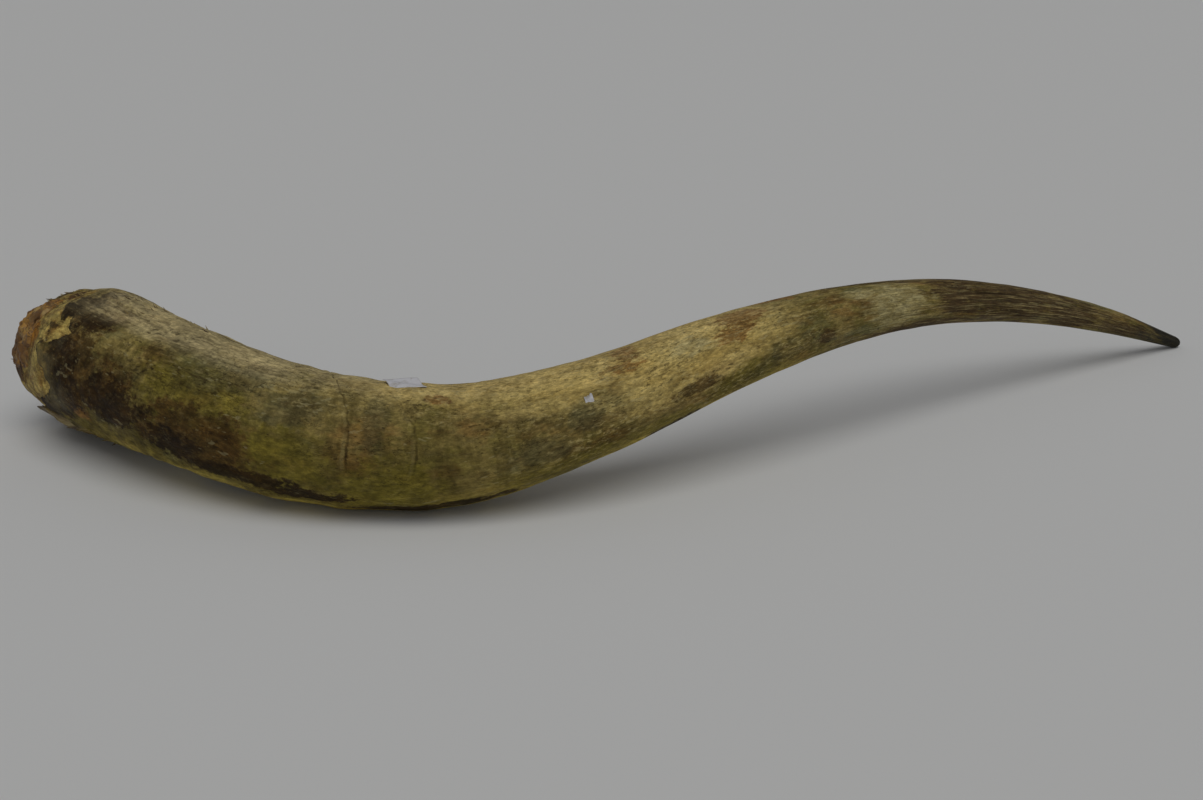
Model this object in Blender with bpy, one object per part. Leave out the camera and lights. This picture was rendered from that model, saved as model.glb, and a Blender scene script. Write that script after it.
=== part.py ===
"""A watusi cattle horn: one hollow sheath of horn, as it lies on a flat surface.

Metres, +Z up. The horn touches the surface, z = 0, with its base rim, its belly and its tip. The
origin is on that surface, under the middle of the horn's box, and +X runs from the base to the tip.
"""

import math
from typing import NamedTuple

import bmesh
import bpy
from mathutils import Matrix, Vector


class Station(NamedTuple):
    """A place on the horn's centreline, and the distance across the horn there."""

    x: float
    y: float
    z: float
    across: float


class Ring(NamedTuple):
    """A growth ring: how far it is from the rim, how wide it is and how far it stands out."""

    along: float
    width: float
    height: float


class Wave(NamedTuple):
    """A wave along the rim: how often it repeats in a turn, its share of the height, where it starts."""

    times: int
    share: float
    start: float


class Dip(NamedTuple):
    """A place where the rim stands back: its angle from the top, its half width and its depth."""

    turn: float
    width: float
    depth: float


# The S of the horn, from the middle of the open base to the middle of the blunt tip
STATIONS = (
    Station(-0.600, 0.023, 0.062, 0.132),
    Station(-0.524, -0.070, 0.076, 0.136),
    Station(-0.426, -0.160, 0.072, 0.123),
    Station(-0.313, -0.218, 0.058, 0.115),
    Station(-0.190, -0.231, 0.055, 0.105),
    Station(-0.072, -0.202, 0.079, 0.087),
    Station(0.035, -0.146, 0.107, 0.073),
    Station(0.137, -0.076, 0.121, 0.060),
    Station(0.237, -0.002, 0.120, 0.050),
    Station(0.336, 0.071, 0.106, 0.043),
    Station(0.436, 0.142, 0.080, 0.035),
    Station(0.535, 0.209, 0.046, 0.027),
    Station(0.633, 0.274, 0.006, 0.014),
)
THICK_SPANS = 5
SECTIONS_PER_THICK_SPAN = 10
SECTIONS_PER_THIN_SPAN = 5
SIDES = 32
TIP_ROUNDING = 0.014
TIP_SECTIONS = 4

# Rings that show from a step away: three swells near the base, then three fine collars on the belly
RINGS = (
    Ring(0.030, 0.025, 0.0015),
    Ring(0.095, 0.032, 0.0026),
    Ring(0.260, 0.030, 0.0010),
    Ring(0.365, 0.022, 0.0010),
    Ring(0.420, 0.020, 0.0014),
    Ring(0.480, 0.020, 0.0010),
)
OVALNESS = -0.008
FLUTES = 7
FLUTE_DEPTH = 0.0008
FLUTE_TWIST = 9.0

# The rim is where the sheath left the skull: wavy, worn back low on its near side and torn there
RIM_HEIGHT = 0.0020
RIM_WAVES = (Wave(times=3, share=0.6, start=0.7), Wave(times=7, share=0.4, start=2.0))
RIM_DIPS = (
    Dip(turn=math.radians(125.0), width=math.radians(65.0), depth=0.009),
    Dip(turn=math.radians(152.0), width=math.radians(18.0), depth=0.008),
)
RIM_FADE = 0.060

# The hollow that held the bony core
RIM_WALL = 0.005
WALL_GROWTH = 0.010
HOLLOW_STRAIGHT = 0.55
HOLLOW_LENGTH = 0.80
HOLLOW_SECTIONS = 24
HOLLOW_POINT = 0.5

HORN_COLOUR = (0.21, 0.16, 0.075, 1.0)
HORN_ROUGHNESS = 0.55


class Section(NamedTuple):
    """A cross-section: its place along the centreline, its middle, its three directions, its radius."""

    along: float
    middle: Vector
    forward: Vector
    side: Vector
    up: Vector
    radius: float


def clear_scene():
    """Remove every object of the open scene."""
    for thing in list(bpy.data.objects):
        bpy.data.objects.remove(thing, do_unlink=True)


def between(before, start, end, after, share):
    """The Catmull-Rom curve from start to end, which leaves and arrives in line with its neighbours."""
    return (
        start
        + 0.5 * share * (end - before)
        + share**2 * (before - 2.5 * start + 2.0 * end - 0.5 * after)
        + 0.5 * share**3 * (3.0 * (start - end) + after - before)
    )


def centreline():
    """Sections from the rim to where the tip starts to round, closer together along the thick end."""
    knots = [Vector(station) for station in STATIONS]
    knots = [2 * knots[0] - knots[1], *knots, 2 * knots[-1] - knots[-2]]
    rows = []
    for span in range(len(STATIONS) - 1):
        steps = SECTIONS_PER_THICK_SPAN if span < THICK_SPANS else SECTIONS_PER_THIN_SPAN
        rows += [between(*knots[span : span + 4], step / steps) for step in range(steps)]
    rows.append(knots[-2])

    sections = []
    along = 0.0
    for index, row in enumerate(rows):
        ahead = rows[min(index + 1, len(rows) - 1)].xyz
        behind = rows[max(index - 1, 0)].xyz
        if index:
            along += (row.xyz - rows[index - 1].xyz).length
        forward = (ahead - behind).normalized()
        side = forward.cross(Vector((0, 0, 1))).normalized()
        sections.append(Section(along, row.xyz, forward, side, side.cross(forward), row.w / 2))
    return sections


def bump(offset, width):
    """A smooth hump: 1 where offset is 0, 0 where it is a full width away."""
    share = min(abs(offset) / width, 1.0)
    return (1.0 - share**2) ** 2


def outer_radius(section, turn):
    """The distance from the centreline to the outside, at an angle that starts from the top."""
    relief = sum(ring.height * bump(section.along - ring.along, ring.width) for ring in RINGS)
    taper = 2.0 * section.radius / STATIONS[0].across
    relief += FLUTE_DEPTH * taper * math.cos(FLUTES * turn + FLUTE_TWIST * section.along)
    return section.radius * (1.0 + OVALNESS * math.cos(2.0 * turn)) + relief


def rim_line(turn):
    """How far the rim stands back from the base's end plane, at an angle that starts from the top."""
    waves = sum(wave.share * math.sin(wave.times * turn + wave.start) for wave in RIM_WAVES)
    dips = (dip.depth * bump(math.remainder(turn - dip.turn, math.tau), dip.width) for dip in RIM_DIPS)
    return RIM_HEIGHT * (1.0 + waves) + sum(dips)


def ring_points(section, distance):
    """A closed ring round a section, at the distance that a function of the angle gives."""
    fade = max(1.0 - section.along / RIM_FADE, 0.0)
    points = []
    for side in range(SIDES):
        turn = math.tau * side / SIDES
        outward = math.cos(turn) * section.up + math.sin(turn) * section.side
        set_back = fade * rim_line(turn) * section.forward
        points.append(section.middle + distance(turn) * outward + set_back)
    return points


def outer_rings(sections):
    """The outside, from the rim to the tip, where it closes in a blunt dome."""
    rings = [ring_points(section, lambda turn, at=section: outer_radius(at, turn)) for section in sections]
    last = sections[-1]
    for step in range(1, TIP_SECTIONS):
        angle = 0.5 * math.pi * step / TIP_SECTIONS
        middle = last.middle + TIP_ROUNDING * math.sin(angle) * last.forward
        closing = last._replace(middle=middle, radius=last.radius * math.cos(angle))
        rings.append(ring_points(closing, lambda turn, at=closing: at.radius))
    return rings


def hollow_radius(section):
    """The radius of the hollow: the outside less a growing wall, closed in a blunt cone."""
    wall = RIM_WALL + WALL_GROWTH * section.along
    share = max(section.along - HOLLOW_STRAIGHT, 0.0) / (HOLLOW_LENGTH - HOLLOW_STRAIGHT)
    return (section.radius - wall) * math.sqrt(max(1.0 - share**2, 0.0))


def hollow_sections(sections):
    """The sections that the hollow passes through, thinned out to its own number."""
    inside = [section for section in sections if section.along < HOLLOW_LENGTH]
    last = len(inside) - 1
    return [inside[round(last * step / HOLLOW_SECTIONS)] for step in range(HOLLOW_SECTIONS + 1)]


def skin(bm, rings):
    """Quads between each ring of vertices and the next."""
    for ring, following in zip(rings, rings[1:]):
        for side in range(SIDES):
            after = (side + 1) % SIDES
            bm.faces.new((ring[side], ring[after], following[after], following[side]))


def close_end(bm, ring, peak):
    """A fan from a ring of vertices to one point."""
    point = bm.verts.new(peak)
    for side in range(SIDES):
        bm.faces.new((ring[side], ring[(side + 1) % SIDES], point))


def horn_mesh():
    """The sheath as one loft: in through the hollow, out over the rim, and along the outside."""
    sections = centreline()
    inside = hollow_sections(sections)
    hollow = [ring_points(section, lambda turn, at=section: hollow_radius(at)) for section in inside]
    outside = outer_rings(sections)

    bm = bmesh.new()
    loft = [[bm.verts.new(point) for point in ring] for ring in [*reversed(hollow), *outside]]
    skin(bm, loft)
    close_end(bm, loft[-1], sections[-1].middle + TIP_ROUNDING * sections[-1].forward)
    deepest = inside[-1]
    close_end(bm, loft[0], deepest.middle + HOLLOW_POINT * hollow_radius(deepest) * deepest.forward)
    bmesh.ops.recalc_face_normals(bm, faces=bm.faces)
    mesh = bpy.data.meshes.new("horn")
    bm.to_mesh(mesh)
    bm.free()
    return mesh


def box_of(mesh):
    """The lowest and highest corners of a mesh."""
    places = [vertex.co for vertex in mesh.vertices]
    low = Vector(min(place[axis] for place in places) for axis in range(3))
    high = Vector(max(place[axis] for place in places) for axis in range(3))
    return low, high


def horn_material():
    """Dull olive-tan horn."""
    material = bpy.data.materials.new("horn sheath")
    material.use_nodes = True
    shader = material.node_tree.nodes["Principled BSDF"]
    shader.inputs["Base Color"].default_value = HORN_COLOUR
    shader.inputs["Roughness"].default_value = HORN_ROUGHNESS
    shader.inputs["Metallic"].default_value = 0.0
    return material


def build():
    """Make the horn, in a collection of its own, with the origin under the middle of its box."""
    clear_scene()
    collection = bpy.data.collections.new("watusi_horn")
    bpy.context.scene.collection.children.link(collection)
    mesh = horn_mesh()
    low, high = box_of(mesh)
    mesh.transform(Matrix.Translation((-(low.x + high.x) / 2, -(low.y + high.y) / 2, -low.z)))
    mesh.shade_smooth()
    mesh.materials.append(horn_material())
    collection.objects.link(bpy.data.objects.new("horn", mesh))


build()
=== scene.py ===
"""The looks of a watusi cattle horn that lies on a pale surface, seen from its near side.

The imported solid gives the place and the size. This script gives the horn its surface: one sheath with
its growth rings, fibres, splits and torn rim, the dried tissue left on the rim, and the loose splinters.
A place on the horn is its distance along the horn from the base's end plane, in metres, and its turn
round the horn: 0 degrees on top, 90 on the near side and 180 underneath.
"""

import logging
import math
from dataclasses import dataclass, field
from enum import Enum
from typing import NamedTuple, Sequence, Union

import bmesh
import bpy
import numpy as np
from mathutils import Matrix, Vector

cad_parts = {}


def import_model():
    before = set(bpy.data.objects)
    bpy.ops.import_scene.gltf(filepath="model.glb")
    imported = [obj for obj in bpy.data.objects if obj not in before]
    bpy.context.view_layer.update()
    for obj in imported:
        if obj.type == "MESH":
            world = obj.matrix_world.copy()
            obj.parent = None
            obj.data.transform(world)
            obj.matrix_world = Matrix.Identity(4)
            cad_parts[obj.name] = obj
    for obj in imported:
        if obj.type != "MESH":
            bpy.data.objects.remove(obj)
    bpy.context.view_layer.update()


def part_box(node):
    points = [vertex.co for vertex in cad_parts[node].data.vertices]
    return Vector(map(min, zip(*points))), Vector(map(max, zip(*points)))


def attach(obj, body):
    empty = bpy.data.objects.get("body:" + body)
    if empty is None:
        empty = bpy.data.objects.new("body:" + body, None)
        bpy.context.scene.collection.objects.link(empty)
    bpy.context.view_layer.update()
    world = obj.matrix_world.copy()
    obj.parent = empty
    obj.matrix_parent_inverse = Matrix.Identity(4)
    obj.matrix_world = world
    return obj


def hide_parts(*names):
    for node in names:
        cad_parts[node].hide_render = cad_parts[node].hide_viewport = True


LOG = logging.getLogger("watusi_horn")
NODE = "horn"
BODY = "root"
# Millimetres in a metre
MILLIMETRES = 1000.0
# The radius of the tube that the patterns are laid out on, in metres
GRAIN_RADIUS = 0.05
# How far along the horn the relief has values, in metres
GRAIN_REACH = 2.0

Colour = tuple[float, float, float, float]
Socket = bpy.types.NodeSocket
Feed = Union[Socket, float, Sequence[float]]


def tone(red: int, green: int, blue: int) -> Colour:
    """Turn a colour as it is read off a screen into the renderer's linear values.

    Args:
        red: The red value, 0 to 255.
        green: The green value, 0 to 255.
        blue: The blue value, 0 to 255.

    Returns:
        The linear colour, with an opaque last value.
    """
    shares = [value / 255.0 for value in (red, green, blue)]
    linear = [share / 12.92 if share <= 0.04045 else ((share + 0.055) / 1.055) ** 2.4 for share in shares]
    return (linear[0], linear[1], linear[2], 1.0)


def rise(values: np.ndarray, low: float, high: float) -> np.ndarray:
    """Step smoothly from 0 to 1.

    Args:
        values: Where on the step each value is.
        low: The value at which the step starts.
        high: The value at which it is complete.

    Returns:
        The height of the step, 0 to 1.
    """
    share = np.clip((values - low) / (high - low), 0.0, 1.0)
    return share * share * (3.0 - 2.0 * share)


def stretch_between(values: np.ndarray, start: float, end: float, soft: float) -> np.ndarray:
    """Mark a stretch that fades at both ends.

    Args:
        values: The places to weigh.
        start: Where the stretch starts.
        end: Where it ends.
        soft: How far each end fades, to either side.

    Returns:
        1 within the stretch and 0 outside it.
    """
    return rise(values, start - soft, start + soft) * (1.0 - rise(values, end - soft, end + soft))


def bump(offset: np.ndarray, width: float) -> np.ndarray:
    """Make a smooth hump.

    Args:
        offset: The distance from the hump's middle.
        width: The distance at which the hump ends.

    Returns:
        1 in the middle and 0 a full width away.
    """
    share = np.minimum(np.abs(offset) / width, 1.0)
    return (1.0 - share**2) ** 2


def turn_between(turn: np.ndarray, middle: float) -> np.ndarray:
    """Give the shorter way round, in radians, from an angle to each turn."""
    return (turn - middle + math.pi) % math.tau - math.pi


class Grain(NamedTuple):
    """Smooth random relief that closes up round the horn.

    It has a random value every so many metres along, and so many of them in a turn. The seed picks the
    values, and the height is the most that they can be.
    """

    length: float
    around: int
    seed: int
    height: float = 1.0

    def at(self, along: np.ndarray, turn: np.ndarray) -> np.ndarray:
        """Read the relief.

        Args:
            along: Distances along the horn.
            turn: Angles round the horn.

        Returns:
            Values up to the height, to either side of 0, in the shape that the two give together.
        """
        along, turn = np.broadcast_arrays(along, turn)
        rows = int(GRAIN_REACH / self.length) + 4
        values = np.random.default_rng(self.seed).uniform(-1.0, 1.0, (rows, self.around))
        row = np.clip(along / self.length + 1.0, 0.0, rows - 2.0)
        column = turn / math.tau * self.around
        first_row, first_column = np.floor(row).astype(int), np.floor(column).astype(int)
        down, across = rise(row - first_row, 0.0, 1.0), rise(column - first_column, 0.0, 1.0)
        left, right = first_column % self.around, (first_column + 1) % self.around
        upper = values[first_row, left] * (1.0 - across) + values[first_row, right] * across
        lower = values[first_row + 1, left] * (1.0 - across) + values[first_row + 1, right] * across
        return self.height * (upper * (1.0 - down) + lower * down)


def layered(along: np.ndarray, turn: np.ndarray, layers: Sequence[Grain]) -> np.ndarray:
    """Add up layers of relief.

    Args:
        along: Distances along the horn.
        turn: Angles round the horn.
        layers: The layers.

    Returns:
        Their sum at each place.
    """
    return sum(layer.at(along, turn) for layer in layers)


class Station(NamedTuple):
    """A place on the horn's centreline, and the distance across the horn there."""

    x: float
    y: float
    z: float
    across: float


class Ring(NamedTuple):
    """A growth ring: how far it is from the rim, how wide it is and how far it stands out."""

    along: float
    width: float
    height: float


class Wave(NamedTuple):
    """A wave along the rim: how often it repeats in a turn, its share of the height, where it starts."""

    times: int
    share: float
    start: float


class Dip(NamedTuple):
    """A place where an edge stands back: its angle from the top, its half width and its depth."""

    turn: float
    width: float
    depth: float


def stand_back(dips: Sequence[Dip], turn: np.ndarray) -> np.ndarray:
    """Give how far an edge with some dips stands back at each turn."""
    return sum(dip.depth * bump(turn_between(turn, dip.turn), dip.width) for dip in dips)


class Frames(NamedTuple):
    """The centreline at a row of places: its points, its three directions and the horn's radius."""

    middle: np.ndarray
    forward: np.ndarray
    side: np.ndarray
    up: np.ndarray
    radius: np.ndarray


@dataclass
class HornForm:
    """The horn's smooth form, with the sizes of the solid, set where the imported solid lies."""

    low: Sequence[float]
    high: Sequence[float]
    stations: tuple[Station, ...] = (
        Station(-0.600, 0.023, 0.062, 0.132),
        Station(-0.524, -0.070, 0.076, 0.136),
        Station(-0.426, -0.160, 0.072, 0.123),
        Station(-0.313, -0.218, 0.058, 0.115),
        Station(-0.190, -0.231, 0.055, 0.105),
        Station(-0.072, -0.202, 0.079, 0.087),
        Station(0.035, -0.146, 0.107, 0.073),
        Station(0.137, -0.076, 0.121, 0.060),
        Station(0.237, -0.002, 0.120, 0.050),
        Station(0.336, 0.071, 0.106, 0.043),
        Station(0.436, 0.142, 0.080, 0.035),
        Station(0.535, 0.209, 0.046, 0.027),
        Station(0.633, 0.274, 0.006, 0.014),
    )
    rings: tuple[Ring, ...] = (
        Ring(0.030, 0.025, 0.0015),
        Ring(0.095, 0.032, 0.0026),
        Ring(0.260, 0.030, 0.0010),
        Ring(0.365, 0.022, 0.0010),
        Ring(0.420, 0.020, 0.0014),
        Ring(0.480, 0.020, 0.0010),
    )
    ovalness: float = -0.008
    flutes: int = 7
    flute_depth: float = 0.0008
    flute_twist: float = 9.0
    tip_rounding: float = 0.014
    rim_height: float = 0.0020
    rim_waves: tuple[Wave, ...] = (Wave(3, 0.6, 0.7), Wave(7, 0.4, 2.0))
    rim_dips: tuple[Dip, ...] = (
        Dip(math.radians(125.0), math.radians(65.0), 0.009),
        Dip(math.radians(152.0), math.radians(18.0), 0.008),
    )
    rim_fade: float = 0.060
    rim_wall: float = 0.005
    wall_growth: float = 0.010
    hollow_straight: float = 0.55
    hollow_length: float = 0.80
    samples_per_span: int = 60
    box_samples: int = 4
    box_sides: int = 96
    box_dome_rings: int = 12
    along: np.ndarray = field(init=False)
    rows: np.ndarray = field(init=False)
    forward: np.ndarray = field(init=False)

    def __post_init__(self) -> None:
        """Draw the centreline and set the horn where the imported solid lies."""
        self.rows = self._centreline()
        steps = np.linalg.norm(np.diff(self.rows[:, :3], axis=0), axis=1)
        self.along = np.concatenate([[0.0], np.cumsum(steps)])
        self.forward = np.gradient(self.rows[:, :3], self.along, axis=0)
        turn = np.linspace(0.0, math.tau, self.box_sides, endpoint=False)[None, :]
        body = self.along[:: self.box_samples, None]
        skin = self.place(body, turn, self.outside(body, turn))
        points = np.concatenate([skin.reshape(-1, 3), self.dome(turn, self.box_dome_rings).reshape(-1, 3)])
        lowest, highest = points.min(axis=0), points.max(axis=0)
        wanted = (np.array(self.low) + np.array(self.high)) / 2.0
        shift = wanted - (lowest + highest) / 2.0
        shift[2] = self.low[2] - lowest[2]
        self.rows[:, :3] += shift

    @property
    def length(self) -> float:
        """The length of the centreline, from the base's end plane to where the tip rounds off."""
        return float(self.along[-1])

    def _centreline(self) -> np.ndarray:
        """Draw a smooth curve through the stations.

        Returns:
            One row for each sample: x, y, z and the distance across.
        """
        knots = np.array(self.stations)
        knots = np.vstack([2 * knots[0] - knots[1], knots, 2 * knots[-1] - knots[-2]])
        share = (np.arange(self.samples_per_span) / self.samples_per_span)[:, None]
        spans = []
        for before, start, end, after in zip(knots, knots[1:], knots[2:], knots[3:]):
            spans.append(
                start
                + 0.5 * share * (end - before)
                + share**2 * (before - 2.5 * start + 2.0 * end - 0.5 * after)
                + 0.5 * share**3 * (3.0 * (start - end) + after - before)
            )
        return np.vstack([*spans, knots[-2]])

    def frames(self, along: np.ndarray) -> Frames:
        """Give the centreline's points and directions.

        Args:
            along: Distances along the horn, in one row.

        Returns:
            The frames at those distances.
        """
        row = np.stack([np.interp(along, self.along, self.rows[:, axis]) for axis in range(4)], axis=-1)
        forward = np.stack([np.interp(along, self.along, self.forward[:, axis]) for axis in range(3)], -1)
        forward /= np.linalg.norm(forward, axis=-1, keepdims=True)
        side = np.cross(forward, (0.0, 0.0, 1.0))
        side /= np.linalg.norm(side, axis=-1, keepdims=True)
        return Frames(row[..., :3], forward, side, np.cross(side, forward), row[..., 3] / 2.0)

    def outside(self, along: np.ndarray, turn: np.ndarray) -> np.ndarray:
        """Give the distance from the centreline to the outside.

        Args:
            along: Distances along the horn, in a column.
            turn: Angles round the horn, in a row.

        Returns:
            The distances, one for each pair.
        """
        radius = self.frames(along).radius
        swell = sum(ring.height * bump(along - ring.along, ring.width) for ring in self.rings)
        taper = 2.0 * radius / self.stations[0].across
        flutes = self.flute_depth * taper * np.cos(self.flutes * turn + self.flute_twist * along)
        return radius * (1.0 + self.ovalness * np.cos(2.0 * turn)) + swell + flutes

    def hollow(self, along: np.ndarray) -> np.ndarray:
        """Give the radius of the hollow: the outside less a growing wall, closed in a blunt cone.

        Args:
            along: Distances along the horn.

        Returns:
            The radii there, 0 where the hollow ends.
        """
        wall = self.rim_wall + self.wall_growth * along
        share = np.maximum(along - self.hollow_straight, 0.0) / (self.hollow_length - self.hollow_straight)
        return (self.frames(along).radius - wall) * np.sqrt(np.maximum(1.0 - share**2, 0.0))

    def set_back(self, along: np.ndarray, turn: np.ndarray) -> np.ndarray:
        """Give how far the rim's waves and dips move the skin along the horn.

        Args:
            along: Distances along the horn.
            turn: Angles round the horn.

        Returns:
            The moves in metres, which fade away from the rim.
        """
        waves = sum(wave.share * np.sin(wave.times * turn + wave.start) for wave in self.rim_waves)
        line = self.rim_height * (1.0 + waves) + stand_back(self.rim_dips, turn)
        return np.maximum(1.0 - along / self.rim_fade, 0.0) * line

    def place(
        self, along: np.ndarray, turn: np.ndarray, distance: np.ndarray, ahead: Feed = 0.0
    ) -> np.ndarray:
        """Turn places on the horn into points.

        Args:
            along: Distances along the horn, in a column.
            turn: Angles round the horn, in a row.
            distance: How far each point is from the centreline.
            ahead: How far each point is moved along the horn, besides the rim's own waves.

        Returns:
            The points, in metres.
        """
        along, turn, distance, ahead = np.broadcast_arrays(along, turn, distance, ahead)
        frames = self.frames(along)
        outward = np.cos(turn)[..., None] * frames.up + np.sin(turn)[..., None] * frames.side
        moved = (self.set_back(along, turn) + ahead)[..., None] * frames.forward
        return frames.middle + distance[..., None] * outward + moved

    def dome(self, turn: np.ndarray, steps: int) -> np.ndarray:
        """Round off the tip.

        Args:
            turn: Angles round the horn, in a row.
            steps: The number of rings of points.

        Returns:
            The rings of points, the last of them on the very end.
        """
        angle = (0.5 * math.pi * np.arange(1, steps + 1) / steps)[:, None]
        end = self.outside(np.full_like(angle, self.length), turn)
        along = np.full_like(angle, self.length)
        return self.place(along, turn, end * np.cos(angle), self.tip_rounding * np.sin(angle))


class Zone(str, Enum):
    """What marks a part of the horn's skin. Each is a number on the mesh that the finish reads."""

    BLEACHED = "bleached"
    OCHRE = "ochre"
    MOSS = "moss"
    UMBER = "umber"
    SLATE = "slate"
    STAIN = "stain"
    STREAK = "streak"
    PALE = "pale"
    SOOT = "soot"
    TISSUE = "tissue"
    RIND = "rind"
    TIP = "tip"


class Mark(NamedTuple):
    """A patch on the horn: its middle, and its half sizes along in metres and round in degrees."""

    along: float
    turn: float
    length: float
    width: float


MARKS: dict[Zone, tuple[Mark, ...]] = {
    # Dried tissue on the rim's near upper side
    Zone.TISSUE: (
        Mark(0.016, 46.0, 0.030, 26.0),
        Mark(0.042, 33.0, 0.020, 14.0),
        Mark(0.050, 58.0, 0.024, 12.0),
        Mark(0.020, 76.0, 0.034, 14.0),
    ),
    # Darker rind in the tissue, below it and on the far side of the rim
    Zone.RIND: (
        Mark(0.046, 43.0, 0.012, 7.0),
        Mark(0.012, 66.0, 0.016, 9.0),
        Mark(0.040, 77.0, 0.016, 8.0),
        Mark(0.016, 92.0, 0.020, 10.0),
        Mark(0.060, 9.0, 0.014, 9.0),
        Mark(0.010, 250.0, 0.016, 50.0),
    ),
    # Near-black horn past the layer's broken edge, low on the near side and underneath
    Zone.SOOT: (
        Mark(0.116, 22.0, 0.018, 16.0),
        Mark(0.126, 52.0, 0.018, 14.0),
        Mark(0.152, 33.0, 0.026, 13.0),
        Mark(0.118, -2.0, 0.010, 10.0),
        Mark(0.140, 72.0, 0.026, 20.0),
        Mark(0.150, 92.0, 0.034, 17.0),
        Mark(0.110, 108.0, 0.036, 14.0),
        Mark(0.220, 85.0, 0.044, 18.0),
        Mark(0.285, 101.0, 0.032, 12.0),
        Mark(0.340, 115.0, 0.055, 7.5),
        Mark(0.402, 124.0, 0.036, 7.5),
        Mark(0.490, 146.0, 0.060, 10.0),
        Mark(0.690, 146.0, 0.034, 9.0),
        Mark(0.140, 215.0, 0.040, 30.0),
        Mark(0.300, 190.0, 0.050, 18.0),
    ),
    # Dark grey clouds
    Zone.SLATE: (
        Mark(0.270, 12.0, 0.024, 20.0),
        Mark(0.298, 36.0, 0.026, 18.0),
        Mark(0.345, 26.0, 0.030, 18.0),
        Mark(0.390, 46.0, 0.028, 16.0),
        Mark(0.452, 52.0, 0.010, 24.0),
        Mark(0.572, 96.0, 0.022, 14.0),
        Mark(0.616, 76.0, 0.014, 16.0),
        Mark(0.802, 96.0, 0.006, 22.0),
        Mark(0.520, 250.0, 0.030, 20.0),
    ),
    # Brown clouds
    Zone.UMBER: (
        Mark(0.140, 26.0, 0.040, 26.0),
        Mark(0.160, 58.0, 0.028, 14.0),
        Mark(0.190, 76.0, 0.050, 22.0),
        Mark(0.310, 92.0, 0.050, 26.0),
        Mark(0.712, 92.0, 0.028, 10.0),
        Mark(0.870, 96.0, 0.016, 14.0),
        Mark(0.250, 232.0, 0.060, 30.0),
    ),
    # Yellow-green horn on the near side and underneath
    Zone.MOSS: (
        Mark(0.300, 56.0, 0.050, 24.0),
        Mark(0.385, 96.0, 0.034, 30.0),
        Mark(0.460, 112.0, 0.040, 30.0),
        Mark(0.600, 130.0, 0.046, 18.0),
        Mark(0.690, 132.0, 0.030, 16.0),
        Mark(0.770, 120.0, 0.040, 26.0),
        Mark(0.450, 210.0, 0.060, 30.0),
    ),
    # Bleached horn on top of the thick end
    Zone.BLEACHED: (
        Mark(0.176, -20.0, 0.050, 28.0),
        Mark(0.250, -14.0, 0.110, 26.0),
        Mark(0.390, -20.0, 0.100, 20.0),
        Mark(0.210, 12.0, 0.030, 14.0),
        Mark(0.330, 300.0, 0.140, 30.0),
    ),
    # Yellow-ochre horn on top of the middle, and all round it further out, set high and bright partly as
    # painted light from above
    Zone.OCHRE: (
        Mark(0.520, -4.0, 0.085, 32.0),
        Mark(0.620, 8.0, 0.095, 46.0),
        Mark(0.720, 20.0, 0.100, 70.0),
        Mark(0.600, 290.0, 0.150, 40.0),
    ),
    # Red-brown splashes
    Zone.STAIN: (
        Mark(0.168, 108.0, 0.014, 9.0),
        Mark(0.668, 8.0, 0.012, 16.0),
        Mark(0.662, 32.0, 0.018, 11.0),
        Mark(0.784, 18.0, 0.026, 16.0),
        Mark(0.766, 42.0, 0.022, 14.0),
        Mark(0.505, 24.0, 0.014, 6.0),
        Mark(0.840, -8.0, 0.026, 10.0),
        Mark(0.700, 240.0, 0.030, 20.0),
    ),
    # Pale worn horn between the brown splashes and on the slim end
    Zone.PALE: (
        Mark(0.726, 40.0, 0.022, 16.0),
        Mark(0.970, 70.0, 0.040, 52.0),
        Mark(0.925, 32.0, 0.024, 12.0),
        Mark(0.880, 260.0, 0.040, 24.0),
    ),
    # Brown streaks on the slim end
    Zone.STREAK: (
        Mark(1.150, 40.0, 0.110, 110.0),
        Mark(1.068, 66.0, 0.032, 50.0),
        Mark(1.060, -10.0, 0.090, 30.0),
        Mark(0.960, -22.0, 0.060, 18.0),
        Mark(1.030, 138.0, 0.100, 18.0),
        Mark(1.270, 90.0, 0.070, 64.0),
        Mark(1.380, 110.0, 0.060, 40.0),
        Mark(1.100, 230.0, 0.120, 60.0),
    ),
    # The dark tip
    Zone.TIP: (
        Mark(1.530, 0.0, 0.102, 360.0),
    ),
}


# How the cracks leave their smooth curve, and how they open and close along it
CRACK_WANDER = (Grain(0.5, 17, 70, 0.0022), Grain(0.5, 61, 71, 0.0010))
CRACK_OPENING = Grain(0.5, 27, 72, 0.35)


class Crack(NamedTuple):
    """A crack along a growth ring: its place, how far it bows and at which turn, its ends and its depth."""

    along: float
    bow: float
    bow_turn: float
    first_turn: float
    last_turn: float
    depth: float

    def gap(self, along: np.ndarray, turn: np.ndarray) -> np.ndarray:
        """Give how far along from the crack each place is."""
        wander = layered(np.zeros_like(along), turn, CRACK_WANDER)
        return along - self.along - self.bow * np.cos(turn - math.radians(self.bow_turn)) - wander

    def strength(self, turn: np.ndarray) -> np.ndarray:
        """Give how open the crack is, 0 to 1."""
        middle = math.radians(0.5 * (self.first_turn + self.last_turn))
        half = math.radians(0.5 * (self.last_turn - self.first_turn))
        ends = 1.0 - rise(np.abs(turn_between(turn, middle)), 0.8 * half, half)
        return ends * (0.65 + CRACK_OPENING.at(np.zeros_like(turn), turn))


CRACKS = (
    Crack(0.3935, 0.0425, 72.0, -50.0, 114.0, 0.0009),
    Crack(0.4265, 0.0600, 71.0, 8.0, 122.0, 0.0004),
    Crack(0.300, 0.050, 230.0, 175.0, 300.0, 0.0006),
)


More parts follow.
